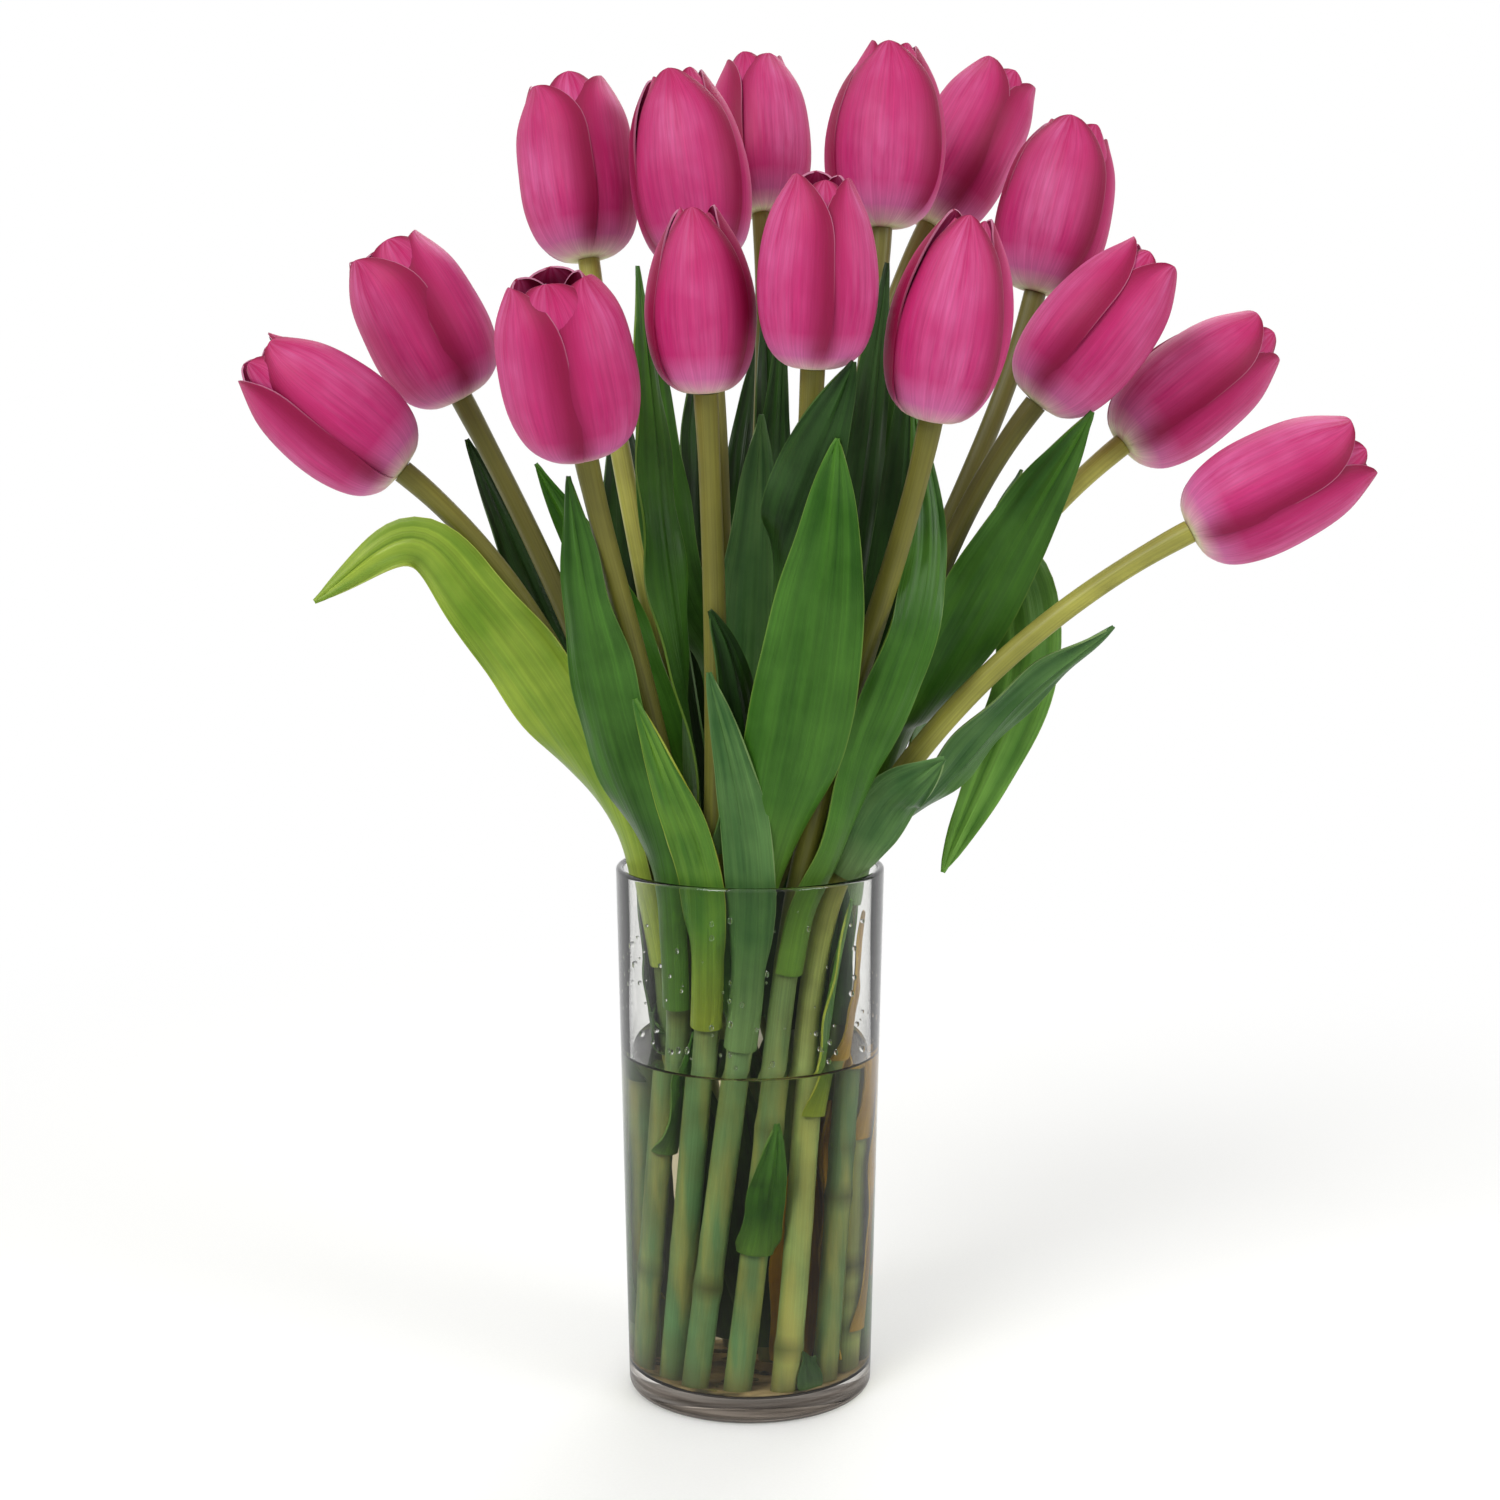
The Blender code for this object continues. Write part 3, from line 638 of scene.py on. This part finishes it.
def buildPetal(name, t, azimuth, inner, chance, peel=0.0):
    f = flowerSettings
    half, length = t["width"] / 2, t["length"]
    right, front, axis = flowerFrame(t)
    base = Vector(t["base"])
    rise = chance.uniform(*f["innerRise" if inner else "outerRise"])
    gape = t["gape"] * chance.uniform(*f["gapeSpread"])
    mouth = f["mouthIn"] - f["gapeKeeps"] * gape
    outline = []
    for r, z in f["outer"]:
        late = smoothStep((z - 0.45) / 0.55)
        size = f["innerShare"] if inner else 1.0
        r = r * size + gape * late * f["gapeOut"] - mouth * late**1.5
        outline.append(Vector((r * half, z * length * rise, 0.0)))
    profile = evenly(smoothRoute(outline), f["profileSteps"])
    spread = radians(f["innerAngle"] if inner else f["outerAngle"])
    blunt = chance.uniform(*f["bluntness"])
    skew = chance.uniform(*f["skew"])
    phases = [chance.uniform(0, tau) for _ in range(4)]
    loose = min(1.0, 0.25 + t["gape"])
    curl = [loose * chance.uniform(*f["edgeCurl"]) for _ in range(2)]

    def place(u, v):
        # rows crowd towards the tip, so that its round end is drawn well
        up = v if v < 0.5 else 0.5 + 0.5 * sin((v - 0.5) * pi)
        point = profile[round(up * f["profileSteps"])]
        share = 2 * u - 1
        tip = max(0.0, (up - f["tipFrom"]) / (1 - f["tipFrom"]))
        narrowing = max(0.0, 1 - tip**2.6) ** blunt
        angle = spread * (0.86 + 0.14 * smoothStep(up / 0.4)) * narrowing * share
        angle += radians(f["skewAngle"]) * skew * tip * sin(2 * up)
        edge = abs(share)
        grown = min(1.0, point.x / half * 1.2) * smoothStep(up / 0.22)
        level = grown * min(1.0, narrowing * 1.6)
        radius = point.x
        radius -= f["tuck"] * half * edge**2.6 * level
        radius += f["overlap"] * share * level
        radius -= f["grooveDepth"] * exp(-(share / f["grooveWidth"]) ** 2) * level
        for height, across, along, phase in f["waves"]:
            radius += height * sin(across * share + along * up + phases[phase]) * level
        radius += f["frill"] * edge**3 * sin(9 * up + phases[1 if share > 0 else 2]) * level
        radius += curl[0 if share < 0 else 1] * edge**2 * smoothStep((up - 0.6) / 0.4) * level
        if peel * share > 0:
            lift = smoothStep((edge - 1 + f["peelReach"]) / f["peelReach"])
            radius += abs(peel) * lift * sin(pi * min(1.0, up * 1.05)) ** 0.7 * level
        turned = radians(azimuth) + angle
        out = front * cos(turned) + right * sin(turned)
        return base + out * radius + axis * point.y

    petal = sheet(name, f["columns"], f["rows"], place)
    weldSeams()
    applyModifier(petal, "SOLIDIFY", thickness=f["thickness"] * mm, offset=-1.0)
    return petal


def buildFlower(number, t):
    chance = random.Random(700 + number)
    petals = []
    for k in range(3):
        petals.append(buildPetal(f"petal{k}", t, t["turn"] + 60 + 120 * k, True, chance))
    peeled, peel = t.get("peel", (None, 0.0))
    for k in range(3):
        petals.append(buildPetal(f"petal{k + 3}", t, t["turn"] + 120 * k, False, chance,
                                 peel if peeled == k else 0.0))
    flower = joined(f"tulipFlower{number:02d}", petals)
    smoothed(flower, 45)
    return flower


def petalMaterial():
    # satin flesh that lets a little light through, with painted shade in crimson on the sides where the
    # petals lie against each other, a painted highlight of mauve on their middles, and a greenish white
    # foot
    material, add, shader, place = newMaterial("tulipPetal", {
        "IOR": 1.4, "Specular IOR Level": 0.3, "Sheen Weight": 0.06, "Sheen Roughness": 0.4,
        "Sheen Tint": "#E59AC4", "Subsurface Weight": 0.1, "Subsurface Radius": (1.0, 0.2, 0.35),
        "Subsurface Scale": 0.0015})
    f = flowerSettings
    up, edgeShare = sheetPlaces(add, place)
    # long streaks, some 8 mm wide and 40 mm long
    long = add("Mapping", {"Vector": place["UV"], "Scale": (8.0, 1.5, 1.0)})
    streak = add("TexNoise", {"Vector": long, "Scale": 1.0, "Detail": 4.0, "Roughness": 0.62})
    tone = add("ValToRGB", (up,), stops=f["tones"])
    # a painted highlight of mauve lies on the middle of the petal, broken up by the streaks
    paintedHighlight = add("MapRange", (edgeShare, 0.36, 0.04, 0.12, 1.0))
    highlightStreaks = add("MapRange", (streak, 0.36, 0.66, 0.0, 0.78))
    # and the painted highlight is stronger in some places, some 25 mm across, than in others
    cloud = add("TexNoise", {"Vector": place["Object"], "Scale": 40.0, "Detail": 2.0})
    highlightPatches = add("MapRange", (cloud, 0.35, 0.62, 0.35, 1.15))
    thin = add("Math", (paintedHighlight, highlightStreaks), operation="MULTIPLY")
    highlightShare = add("Math", (thin, highlightPatches), operation="MULTIPLY", use_clamp=True)
    highlighted = add("Mix", {0: highlightShare, 6: tone, 7: f["paintedHighlight"]}, data_type="RGBA")
    # fine veins about 1 mm apart
    vein, veined = fineLines(add, place, highlighted, (60.0, 3.0, 1.0), (0.86, 1.14), 4.0, 0.6)
    # painted shade: the sides above the foot, where the petals lie against each other, are darkened to a
    # deeper crimson
    deep = add("MapRange", (edgeShare, 0.24, 0.47, 0.0, 0.86), interpolation_type="SMOOTHSTEP")
    upper = add("MapRange", (up, 0.06, 0.24))
    paintedShadeShare = add("Math", (deep, upper), operation="MULTIPLY")
    shaded = add("Mix", {0: paintedShadeShare, 6: veined, 7: f["sides"]}, data_type="RGBA")
    # the petal's thin bare edge is paler
    rim = add("MapRange", (edgeShare, 0.49, 0.5, 0.0, 0.5))
    rimShare = add("MapRange", (up, 0.45, 0.75))
    rimTone = add("Math", (rim, rimShare), operation="MULTIPLY")
    rimmed = add("Mix", {0: rimTone, 6: shaded, 7: f["bareEdge"]}, data_type="RGBA")
    rough = add("MapRange", (streak, 0.0, 1.0, 0.4, 0.62))
    relief = add("Math", (vein, streak), operation="ADD")
    bump = add("Bump", {"Height": relief, "Strength": 0.4, "Distance": 0.0004})
    fill(shader, {"Base Color": rimmed, "Roughness": rough, "Normal": bump})
    return material


# the heart of a flower: a three-sided pistil with a lobed head, and six stamens round it
heartSettings = {
    "pistilRadius": 2.6, "pistilHeight": 17.0, "lobes": 3, "lobe": 2.4, "lobeRing": 1.6,
    "stamens": 6, "stamenFoot": 3.0, "stamenRing": 5.2, "stamenHeight": 13.0, "filament": 0.7,
    "anther": (1.3, 4.6), "sunk": 1.5, "pistilTone": "#A9B560", "antherTone": "#3A1E2A",
}


def onAxis(t, x, y, z):
    # a point in a flower's own frame, with z up its axis
    right, front, axis = flowerFrame(t)
    return Vector(t["base"]) + right * x + front * y + axis * z


def rod(t, low, high, lowRadius, highRadius, sides):
    # a tapered rod between two points of a flower's own frame
    start, end = onAxis(t, *low), onAxis(t, *high)
    return solid(bpy.ops.mesh.primitive_cone_add, vertices=sides, radius1=lowRadius * mm,
                 radius2=highRadius * mm, depth=(end - start).length * mm, location=(start + end) / 2 * mm,
                 rotation=(end - start).to_track_quat("Z", "Y").to_euler())


def bead(t, spot, aim, radius, half):
    # a long bead at a point of a flower's own frame
    spot, aim = onAxis(t, *spot), onAxis(t, *aim)
    return solid(bpy.ops.mesh.primitive_uv_sphere_add, segments=12, ring_count=8, radius=1.0,
                 location=spot * mm, rotation=(aim - spot).to_track_quat("Z", "Y").to_euler(),
                 scale=(radius * mm, radius * mm, half * mm))


def buildHearts():
    h = heartSettings
    pistils, anthers = [], []
    tall, high, ring = h["pistilHeight"], h["stamenHeight"], h["stamenRing"]
    for number, t in tulips.items():
        thick = h["pistilRadius"]
        pistils.append(rod(t, (0, 0, h["sunk"]), (0, 0, tall), thick, thick * 0.85, 18))
        for k in range(h["lobes"]):
            angle = radians(360 / h["lobes"] * k + 20 * number)
            x, y = h["lobeRing"] * cos(angle), h["lobeRing"] * sin(angle)
            pistils.append(bead(t, (x, y, tall), (x * 3, y * 3, tall + 1), h["lobe"] * 0.7, h["lobe"]))
        for k in range(h["stamens"]):
            angle = radians(360 / h["stamens"] * k + 20 * number + 10)
            x, y = cos(angle), sin(angle)
            foot = (x * h["stamenFoot"], y * h["stamenFoot"], h["sunk"])
            pistils.append(rod(t, foot, (x * ring, y * ring, high), h["filament"], h["filament"] * 0.6, 8))
            anthers.append(bead(t, (x * ring, y * ring, high + 3),
                                (x * (ring + 0.6), y * (ring + 0.6), high + 7), *h["anther"]))
    hearts = joined("tulipPistils", pistils), joined("tulipAnthers", anthers)
    for obj in hearts:
        smoothed(obj, 50)
    return hearts


def unevenMaterial(name, roughness, scale, detail, stops):
    # soft, wet stuff with a mottled tone and no gloss to speak of
    material, add, shader, place = newMaterial(name, {"Roughness": roughness})
    patch = add("TexNoise", {"Vector": place["Object"], "Scale": scale, "Detail": detail})
    fill(shader, {"Base Color": add("ValToRGB", (patch,), stops=stops)})
    return material


def fleshMaterial(name, tone, roughness):
    # moist plant flesh with a slightly uneven tone
    material, add, shader, place = newMaterial(name, {"Roughness": roughness})
    patch = add("TexNoise", {"Vector": place["Object"], "Scale": 400.0, "Detail": 2.0})
    value = add("MapRange", (patch, 0.0, 1.0, 0.8, 1.2))
    fill(shader, {"Base Color": add("HueSaturation", {"Value": value, "Color": tone})})
    return material


pistils, anthers = buildHearts()
settle(pistils, None, fleshMaterial("tulipPistilFlesh", heartSettings["pistilTone"], 0.45))
settle(anthers, None, fleshMaterial("tulipAntherPollen", heartSettings["antherTone"], 0.8))

petalFinish = petalMaterial()
for number, t in tulips.items():
    settle(buildFlower(number, t), f"flower_{number:02d}", petalFinish)
print("flowers done")

# the leaves: long lance-shaped tulip leaves. Each foot clasps the stem, then the blade
# opens into a shallow channel.
leafSettings = {
    "columns": 18, "rows": 72, "thickness": 0.8, "claspAngle": 95.0, "openRadius": 34.0, "rise": 24.0,
    "hug": 0.45, "claspGap": 0.3, "riseGap": 1.5, "wave": 1.4, "waveLength": 42.0, "keel": 0.8,
    # (height, turn across, turn along, which phase, the half width from which it is full)
    "pleats": ((0.3, 7, 3, 2, 0.25), (0.25, 13, -2, 3, 8)),
    # in the shade, in the light, and on the foot and margin
    "tones": {
        "dark": ("#12290A", "#274B15", "#4F7030"),
        "deep": ("#23480F", "#40701E", "#6A8D3C"),
        "fresh": ("#27530F", "#42741C", "#7E9A3C"),
        "light": ("#3E6E1E", "#679836", "#A8BE62"),
        "grey": ("#305828", "#547C3E", "#90A86A"),
        "lime": ("#64861F", "#90A834", "#C6CC62"),
        "yellowing": ("#2F601A", "#5C8626", "#B8B83E"),
        "golden": ("#76540C", "#A88218", "#C4A43C"),
    },
}


def leafHalfWidth(width, belly, claspWidth, share, late):
    lance = sin(pi * min(1.0, 0.16 + 0.84 * share) ** belly) ** 0.8
    return mixed(claspWidth, width / 2 * lance + 0.25, smoothStep((share - late) / 0.35))


def buildLeaf(name, leaf, seed):
    s = leafSettings
    owner, clasp, side, facing, width, belly, _, way = leaf
    t = tulips[owner]
    middle, along, stem = stemAt(t, clasp)
    higher = stemAt(t, clasp + s["rise"])[0]
    out = squareTo(polar(side, 1.0), along)
    claspRadius = (stem + s["claspGap"]) / cos(radians(s["claspAngle"] / 4))
    start = middle + out * claspRadius
    rise = higher + out * (claspRadius + s["riseGap"])
    midrib = evenly(smoothRoute([start, rise, *map(Vector, way)]), s["rows"])
    length = sum((b - a).length for a, b in zip(midrib, midrib[1:]))
    # a leaf whose foot is deep in the vase hugs its stem until it is near the rim
    rim = vaseSettings["height"]
    late = s["hug"] * max(0.0, rim - clasp) / length if way[-1][2] > rim else 0.0
    chance = random.Random(seed)
    phases = [chance.uniform(0, tau) for _ in range(4)]
    ribs = []
    for row, point in enumerate(midrib):
        share = row / s["rows"]
        ahead = (midrib[min(row + 1, s["rows"])] - midrib[max(row - 1, 0)]).normalized()
        face = squareTo(polar(mixed(side, facing, smoothStep((share - 0.2) / 0.35)), 1.0), ahead)
        radius = mixed(claspRadius, s["openRadius"], smoothStep((share - late) / 0.45))
        half = leafHalfWidth(width, belly, claspRadius * radians(s["claspAngle"]), share, late)
        ribs.append((point, face, ahead.cross(face), radius, half))

    def place(u, v):
        point, face, across, radius, half = ribs[round(v * s["rows"])]
        share = 2 * u - 1
        angle = share * half / radius
        opened = smoothStep((v - 0.25) / 0.3)
        ripple = sin(tau * v * length / s["waveLength"] + phases[0 if share > 0 else 1])
        lift = s["wave"] * ripple * abs(share) ** 2.5 * opened * min(1.0, half / 8)
        lift += s["keel"] * exp(-(share / 0.1) ** 2) * opened * min(1.0, half / 6)
        for height, over, up, phase, full in s["pleats"]:
            wave = sin(over * share + phases[phase] + up * v)
            lift += height * wave * opened * min(1.0, half / full)
        return point + across * radius * sin(angle) - face * (radius * (1 - cos(angle)) - lift)

    blade = sheet(name, s["columns"], s["rows"], place)
    applyModifier(blade, "SOLIDIFY", thickness=s["thickness"] * mm, offset=1.0)
    smoothed(blade, 50)
    return blade


def leafMaterial(tone):
    # waxy leaf skin over soft green flesh, with veins that run its whole length
    deep, middle, pale = leafSettings["tones"][tone]
    material, add, shader, place = newMaterial("tulipLeaf" + tone.capitalize(), {
        "IOR": 1.42, "Specular IOR Level": 0.4, "Coat Weight": 0.12, "Coat Roughness": 0.3})
    up, edgeShare = sheetPlaces(add, place)
    # cloudy tone over the blade, patches about 30 mm long
    cloud = add("TexNoise", {"Vector": place["Object"], "Scale": 32.0, "Detail": 4.0})
    # broad bands that run up the blade, about 6 mm apart
    long = add("Mapping", {"Vector": place["UV"], "Scale": (4.5, 1.6, 1.0)})
    band = add("TexNoise", {"Vector": long, "Scale": 1.0, "Detail": 3.0})
    both = add("Math", (cloud, band), operation="ADD")
    shade = add("MapRange", (both, 0.78, 1.22))
    green = add("ValToRGB", (shade,), stops=((0.0, deep), (1.0, middle)))
    # the foot of the blade is paler
    footShare = add("MapRange", (up, 0.3, 0.04, 0.0, 0.35))
    footed = add("Mix", {0: footShare, 6: green, 7: pale}, data_type="RGBA")
    # veins about 1 mm apart across the blade
    vein, veined = fineLines(add, place, footed, (30.0, 2.2, 1.0), (0.87, 1.13), 3.0)
    # a thin pale margin
    rim = add("MapRange", (edgeShare, 0.482, 0.5, 0.0, 0.5))
    rimmed = add("Mix", {0: rim, 6: veined, 7: pale}, data_type="RGBA")
    rough = add("MapRange", (cloud, 0.35, 0.65, 0.3, 0.58))
    relief = add("Math", (vein, band), operation="ADD")
    bump = add("Bump", {"Height": relief, "Strength": 0.5, "Distance": 0.0005})
    fill(shader, {"Base Color": rimmed, "Roughness": rough, "Normal": bump})
    return material


leafFinishes = {tone: leafMaterial(tone) for tone in leafSettings["tones"]}
for number, leaf in leaves.items():
    settle(buildLeaf(f"tulipLeaf{number:02d}", leaf, 500 + number), f"leaf_{number:02d}",
           leafFinishes[leaf[6]])
print("leaves done")

# the torn sheaths of stripped leaves, which still clasp their stems inside the vase
for number, (owner, clasp, side, width, tone, top, flare) in enumerate(remnants, 1):
    way = []
    for share in (0.6, 1.0):
        point, _, stem = stemAt(tulips[owner], mixed(clasp, top, share))
        way.append(point + polar(side, stem + 1.6 + flare * share))
    remnant = (owner, clasp, side, side, width, 1.0, tone, way)
    settle(buildLeaf(f"sheathRemnant{number:02d}", remnant, 600 + number), None, leafFinishes[tone])
print("sheaths done")

# what has settled in the vase: crumbs of leaf on its floor, one loose piece of leaf by
# the wall, and drops of water on the glass above the water
debrisSettings = {
    "crumbs": 70, "crumbSize": (0.7, 2.4), "crumbSpread": 38, "stemReach": 5.4,
    "crumbTones": ("#2A2A12", "#5A5222"),
    "siltTones": ("#3E3820", "#7A6844", "#A89470"), "siltHeight": 0.45, "siltSwell": 0.35,
    "looseAt": (303, 39.0), "looseSize": (11.0, 15.0),
    "drops": 90, "dropSize": (0.35, 0.95), "dropAzimuths": (190, 350), "dropTop": 193.0, "dropGap": 5,
}


def tooNearStem(point, gap):
    height = max(point.z, vaseSettings["floor"] + 1.5)
    gap += debrisSettings["stemReach"]
    return any((stemAt(t, height)[0].xy - point.xy).length < gap for t in tulips.values())


def buildCrumbs():
    d = debrisSettings
    chance = random.Random(41)
    crumbs = []
    floor = vaseSettings["floor"]
    while len(crumbs) < d["crumbs"]:
        size = chance.uniform(*d["crumbSize"])
        spot = polar(chance.uniform(0, 360), d["crumbSpread"] * sqrt(chance.random()),
                     floor + 0.35 * size + 0.1)
        if not tooNearStem(spot, size):
            crumbs.append(solid(
                bpy.ops.mesh.primitive_ico_sphere_add, subdivisions=1, radius=size * mm,
                location=spot * mm, rotation=(0.0, 0.0, chance.uniform(0, tau)),
                scale=(1.0, chance.uniform(0.3, 0.9), 0.32)))
    return joined("floorCrumbs", crumbs)


def buildSediment():
    # a thin uneven bed of silt that lies on the vase's floor between the stems
    d = debrisSettings
    floor = vaseSettings["floor"]

    def place(u, v):
        spot = polar(360 * u, (insideRadius(floor) - vaseSettings["insideCorner"] + 1.2) * v)
        rough = noise.noise(Vector((spot.x, spot.y, 3.0)) * 0.12)
        return Vector((spot.x, spot.y, floor + d["siltHeight"] + d["siltSwell"] * rough))

    bed = sheet("siltBed", 96, 24, place)
    weldSeams(bpy.ops.mesh.normals_make_consistent, inside=False)
    applyModifier(bed, "SOLIDIFY", thickness=0.25 * mm, offset=0.0)
    smoothed(bed, 60)
    return bed


def buildLoosePiece():
    d = debrisSettings
    azimuth, radius = d["looseAt"]
    across, tall = d["looseSize"]

    def place(u, v):
        wide = across * (0.55 + 0.45 * sin(pi * min(1.0, v + 0.25)))
        turned = azimuth + degrees((u - 0.5) * wide / radius)
        return polar(turned, radius - 2.2 * v + 0.6 * sin(5 * u + 2 * v),
                     vaseSettings["floor"] + 0.6 + tall * v * (0.9 + 0.1 * cos(4 * u)))

    piece = sheet("looseLeafPiece", 14, 14, place)
    applyModifier(piece, "SOLIDIFY", thickness=0.6 * mm, offset=0.0)
    smoothed(piece, 50)
    return piece


def buildDrops():
    # flattened beads that sit on the inside of the wall, most of them near the water
    d = debrisSettings
    chance = random.Random(57)
    drops = []
    for _ in range(d["drops"]):
        size = chance.uniform(*d["dropSize"]) ** 1.3
        height = mixed(waterSettings["level"] + d["dropGap"], d["dropTop"], chance.random() ** 1.4)
        spot = polar(chance.uniform(*d["dropAzimuths"]), insideRadius(height) - 0.35 * size, height)
        drops.append(solid(
            bpy.ops.mesh.primitive_uv_sphere_add, segments=12, ring_count=7, radius=size * mm,
            location=spot * mm, scale=(1.0, 1.0, chance.uniform(1.0, 1.6))))
    beads = joined("wallDrops", drops)
    smoothed(beads, 80)
    return beads


def dropMaterial():
    # clean drops of water, clear all through
    material, add, shader, _ = newMaterial("waterDrops", {
        "Base Color": "#FFFFFF", "IOR": waterSettings["ior"], "Transmission Weight": 1.0, "Roughness": 0.0})
    letLampsThrough(add, shader)
    return material


siltDark, siltMiddle, siltLight = debrisSettings["siltTones"]
crumbDark, crumbLight = debrisSettings["crumbTones"]
# fine plant silt, matt and soft, with a mottled tone
settle(buildSediment(), None, unevenMaterial(
    "plantSilt", 0.8, 90.0, 4.0, ((0.35, siltDark), (0.7, siltLight), (0.5, siltMiddle))))
# rotted leaf crumbs: soft, wet and dark
settle(buildCrumbs(), None, unevenMaterial(
    "wetLeafCrumbs", 0.6, 180.0, 2.0, ((0.35, crumbDark), (0.65, crumbLight))))
settle(buildLoosePiece(), None, leafFinishes["dark"])
settle(buildDrops(), None, dropMaterial())
print("debris done")

# the studio: a pale floor, a bright even surround and three soft lights
studio = {
    "floorRadius": 6.0, "floorColour": "#F2F2F0", "fadeFrom": 0.25, "fadeTo": 0.9,
    "skyHigh": 0.75, "skyLow": 0.28, "mirrorFront": 0.12,
    # place, aim, size in metres, power in watts
    "lights": (
        ((-0.9, -1.2, 1.5), (0.0, 0.0, 0.28), 0.9, 20.0),
        ((1.3, -0.8, 0.9), (0.0, 0.0, 0.28), 0.8, 8.0),
        ((0.3, 1.2, 1.4), (0.0, 0.0, 0.3), 1.0, 9.0),
    ),
}


def floorMaterial():
    # matt white paper under the vase that runs out into plain white light further off
    material, add, shader, place = newMaterial("mattWhitePaper", {"Roughness": 0.8})
    grain = add("TexNoise", {"Vector": place["Object"], "Scale": 900.0, "Detail": 2.0})
    tone = add("ValToRGB", (grain,), stops=((0.0, "#ECECEA"), (1.0, studio["floorColour"])))
    fill(shader, {"Base Color": tone})
    reach = add("VectorMath", (place["Object"],), operation="LENGTH")
    fade = add("MapRange", (reach, studio["fadeFrom"], studio["fadeTo"]), interpolation_type="SMOOTHSTEP")
    # mirrored in glass, the floor is bright behind the vase and dim in front of it
    ray = add("LightPath").outputs
    depth = add("SeparateXYZ", (place["Object"],)).outputs
    behind = add("MapRange", (depth["Y"], -0.15, 0.35, studio["mirrorFront"], 1.0))
    strength = add("Mix", {0: ray["Is Glossy Ray"], 2: 1.0, 3: behind})
    white = add("Emission", {"Strength": strength})
    plain = add("Math", (ray["Is Glossy Ray"], fade), operation="MAXIMUM")
    fill(shader.id_data.nodes["Material Output"], {"Surface": add("MixShader", (plain, shader, white))})
    return material


def buildSurround():
    # a soft sky, brighter overhead, that the lens sees as plain white, also through the glass
    world = bpy.data.worlds.new("studioSurround")
    bpy.context.scene.world = world
    world.use_nodes = True
    add = partial(addNode, world.node_tree)
    place = add("TexCoord").outputs
    height = add("SeparateXYZ", (place["Generated"],)).outputs
    glow = add("MapRange", (height["Z"], 0.0, 0.7, studio["skyLow"], studio["skyHigh"]))
    behind = add("MapRange", (height["Y"], 0.1, 0.6))
    sky = world.node_tree.nodes["Background"]
    fill(sky, {"Color": "#FFFFFF", "Strength": glow})
    plain = add("Background", {"Color": "#FFFFFF", "Strength": 1.0})
    ray = add("LightPath").outputs
    direct = add("Math", (ray["Diffuse Depth"], 0.5), operation="LESS_THAN")
    through = add("Math", (ray["Is Transmission Ray"], direct), operation="MULTIPLY")
    mirrored = add("Math", (ray["Is Glossy Ray"], behind), operation="MULTIPLY")
    farSide = add("Math", (mirrored, through), operation="MAXIMUM")
    seen = add("Math", (ray["Is Camera Ray"], farSide), operation="MAXIMUM")
    fill(world.node_tree.nodes["World Output"], {"Surface": add("MixShader", (seen, sky, plain))})


def buildStudio():
    floor = solid(bpy.ops.mesh.primitive_circle_add, vertices=96, radius=studio["floorRadius"],
                  fill_type="NGON")
    floor.name = "studioFloor"
    floor.data.materials.append(floorMaterial())
    for spot, aim, size, power in studio["lights"]:
        bpy.ops.object.light_add(type="AREA", location=spot)
        light = bpy.context.object
        light.data.shape = "DISK"
        light.data.size = size
        light.data.energy = power
        light.rotation_euler = (Vector(aim) - Vector(spot)).to_track_quat("-Z", "Y").to_euler()
    buildSurround()
    bpy.context.scene.view_settings.view_transform = "Standard"


buildStudio()
print("studio done")
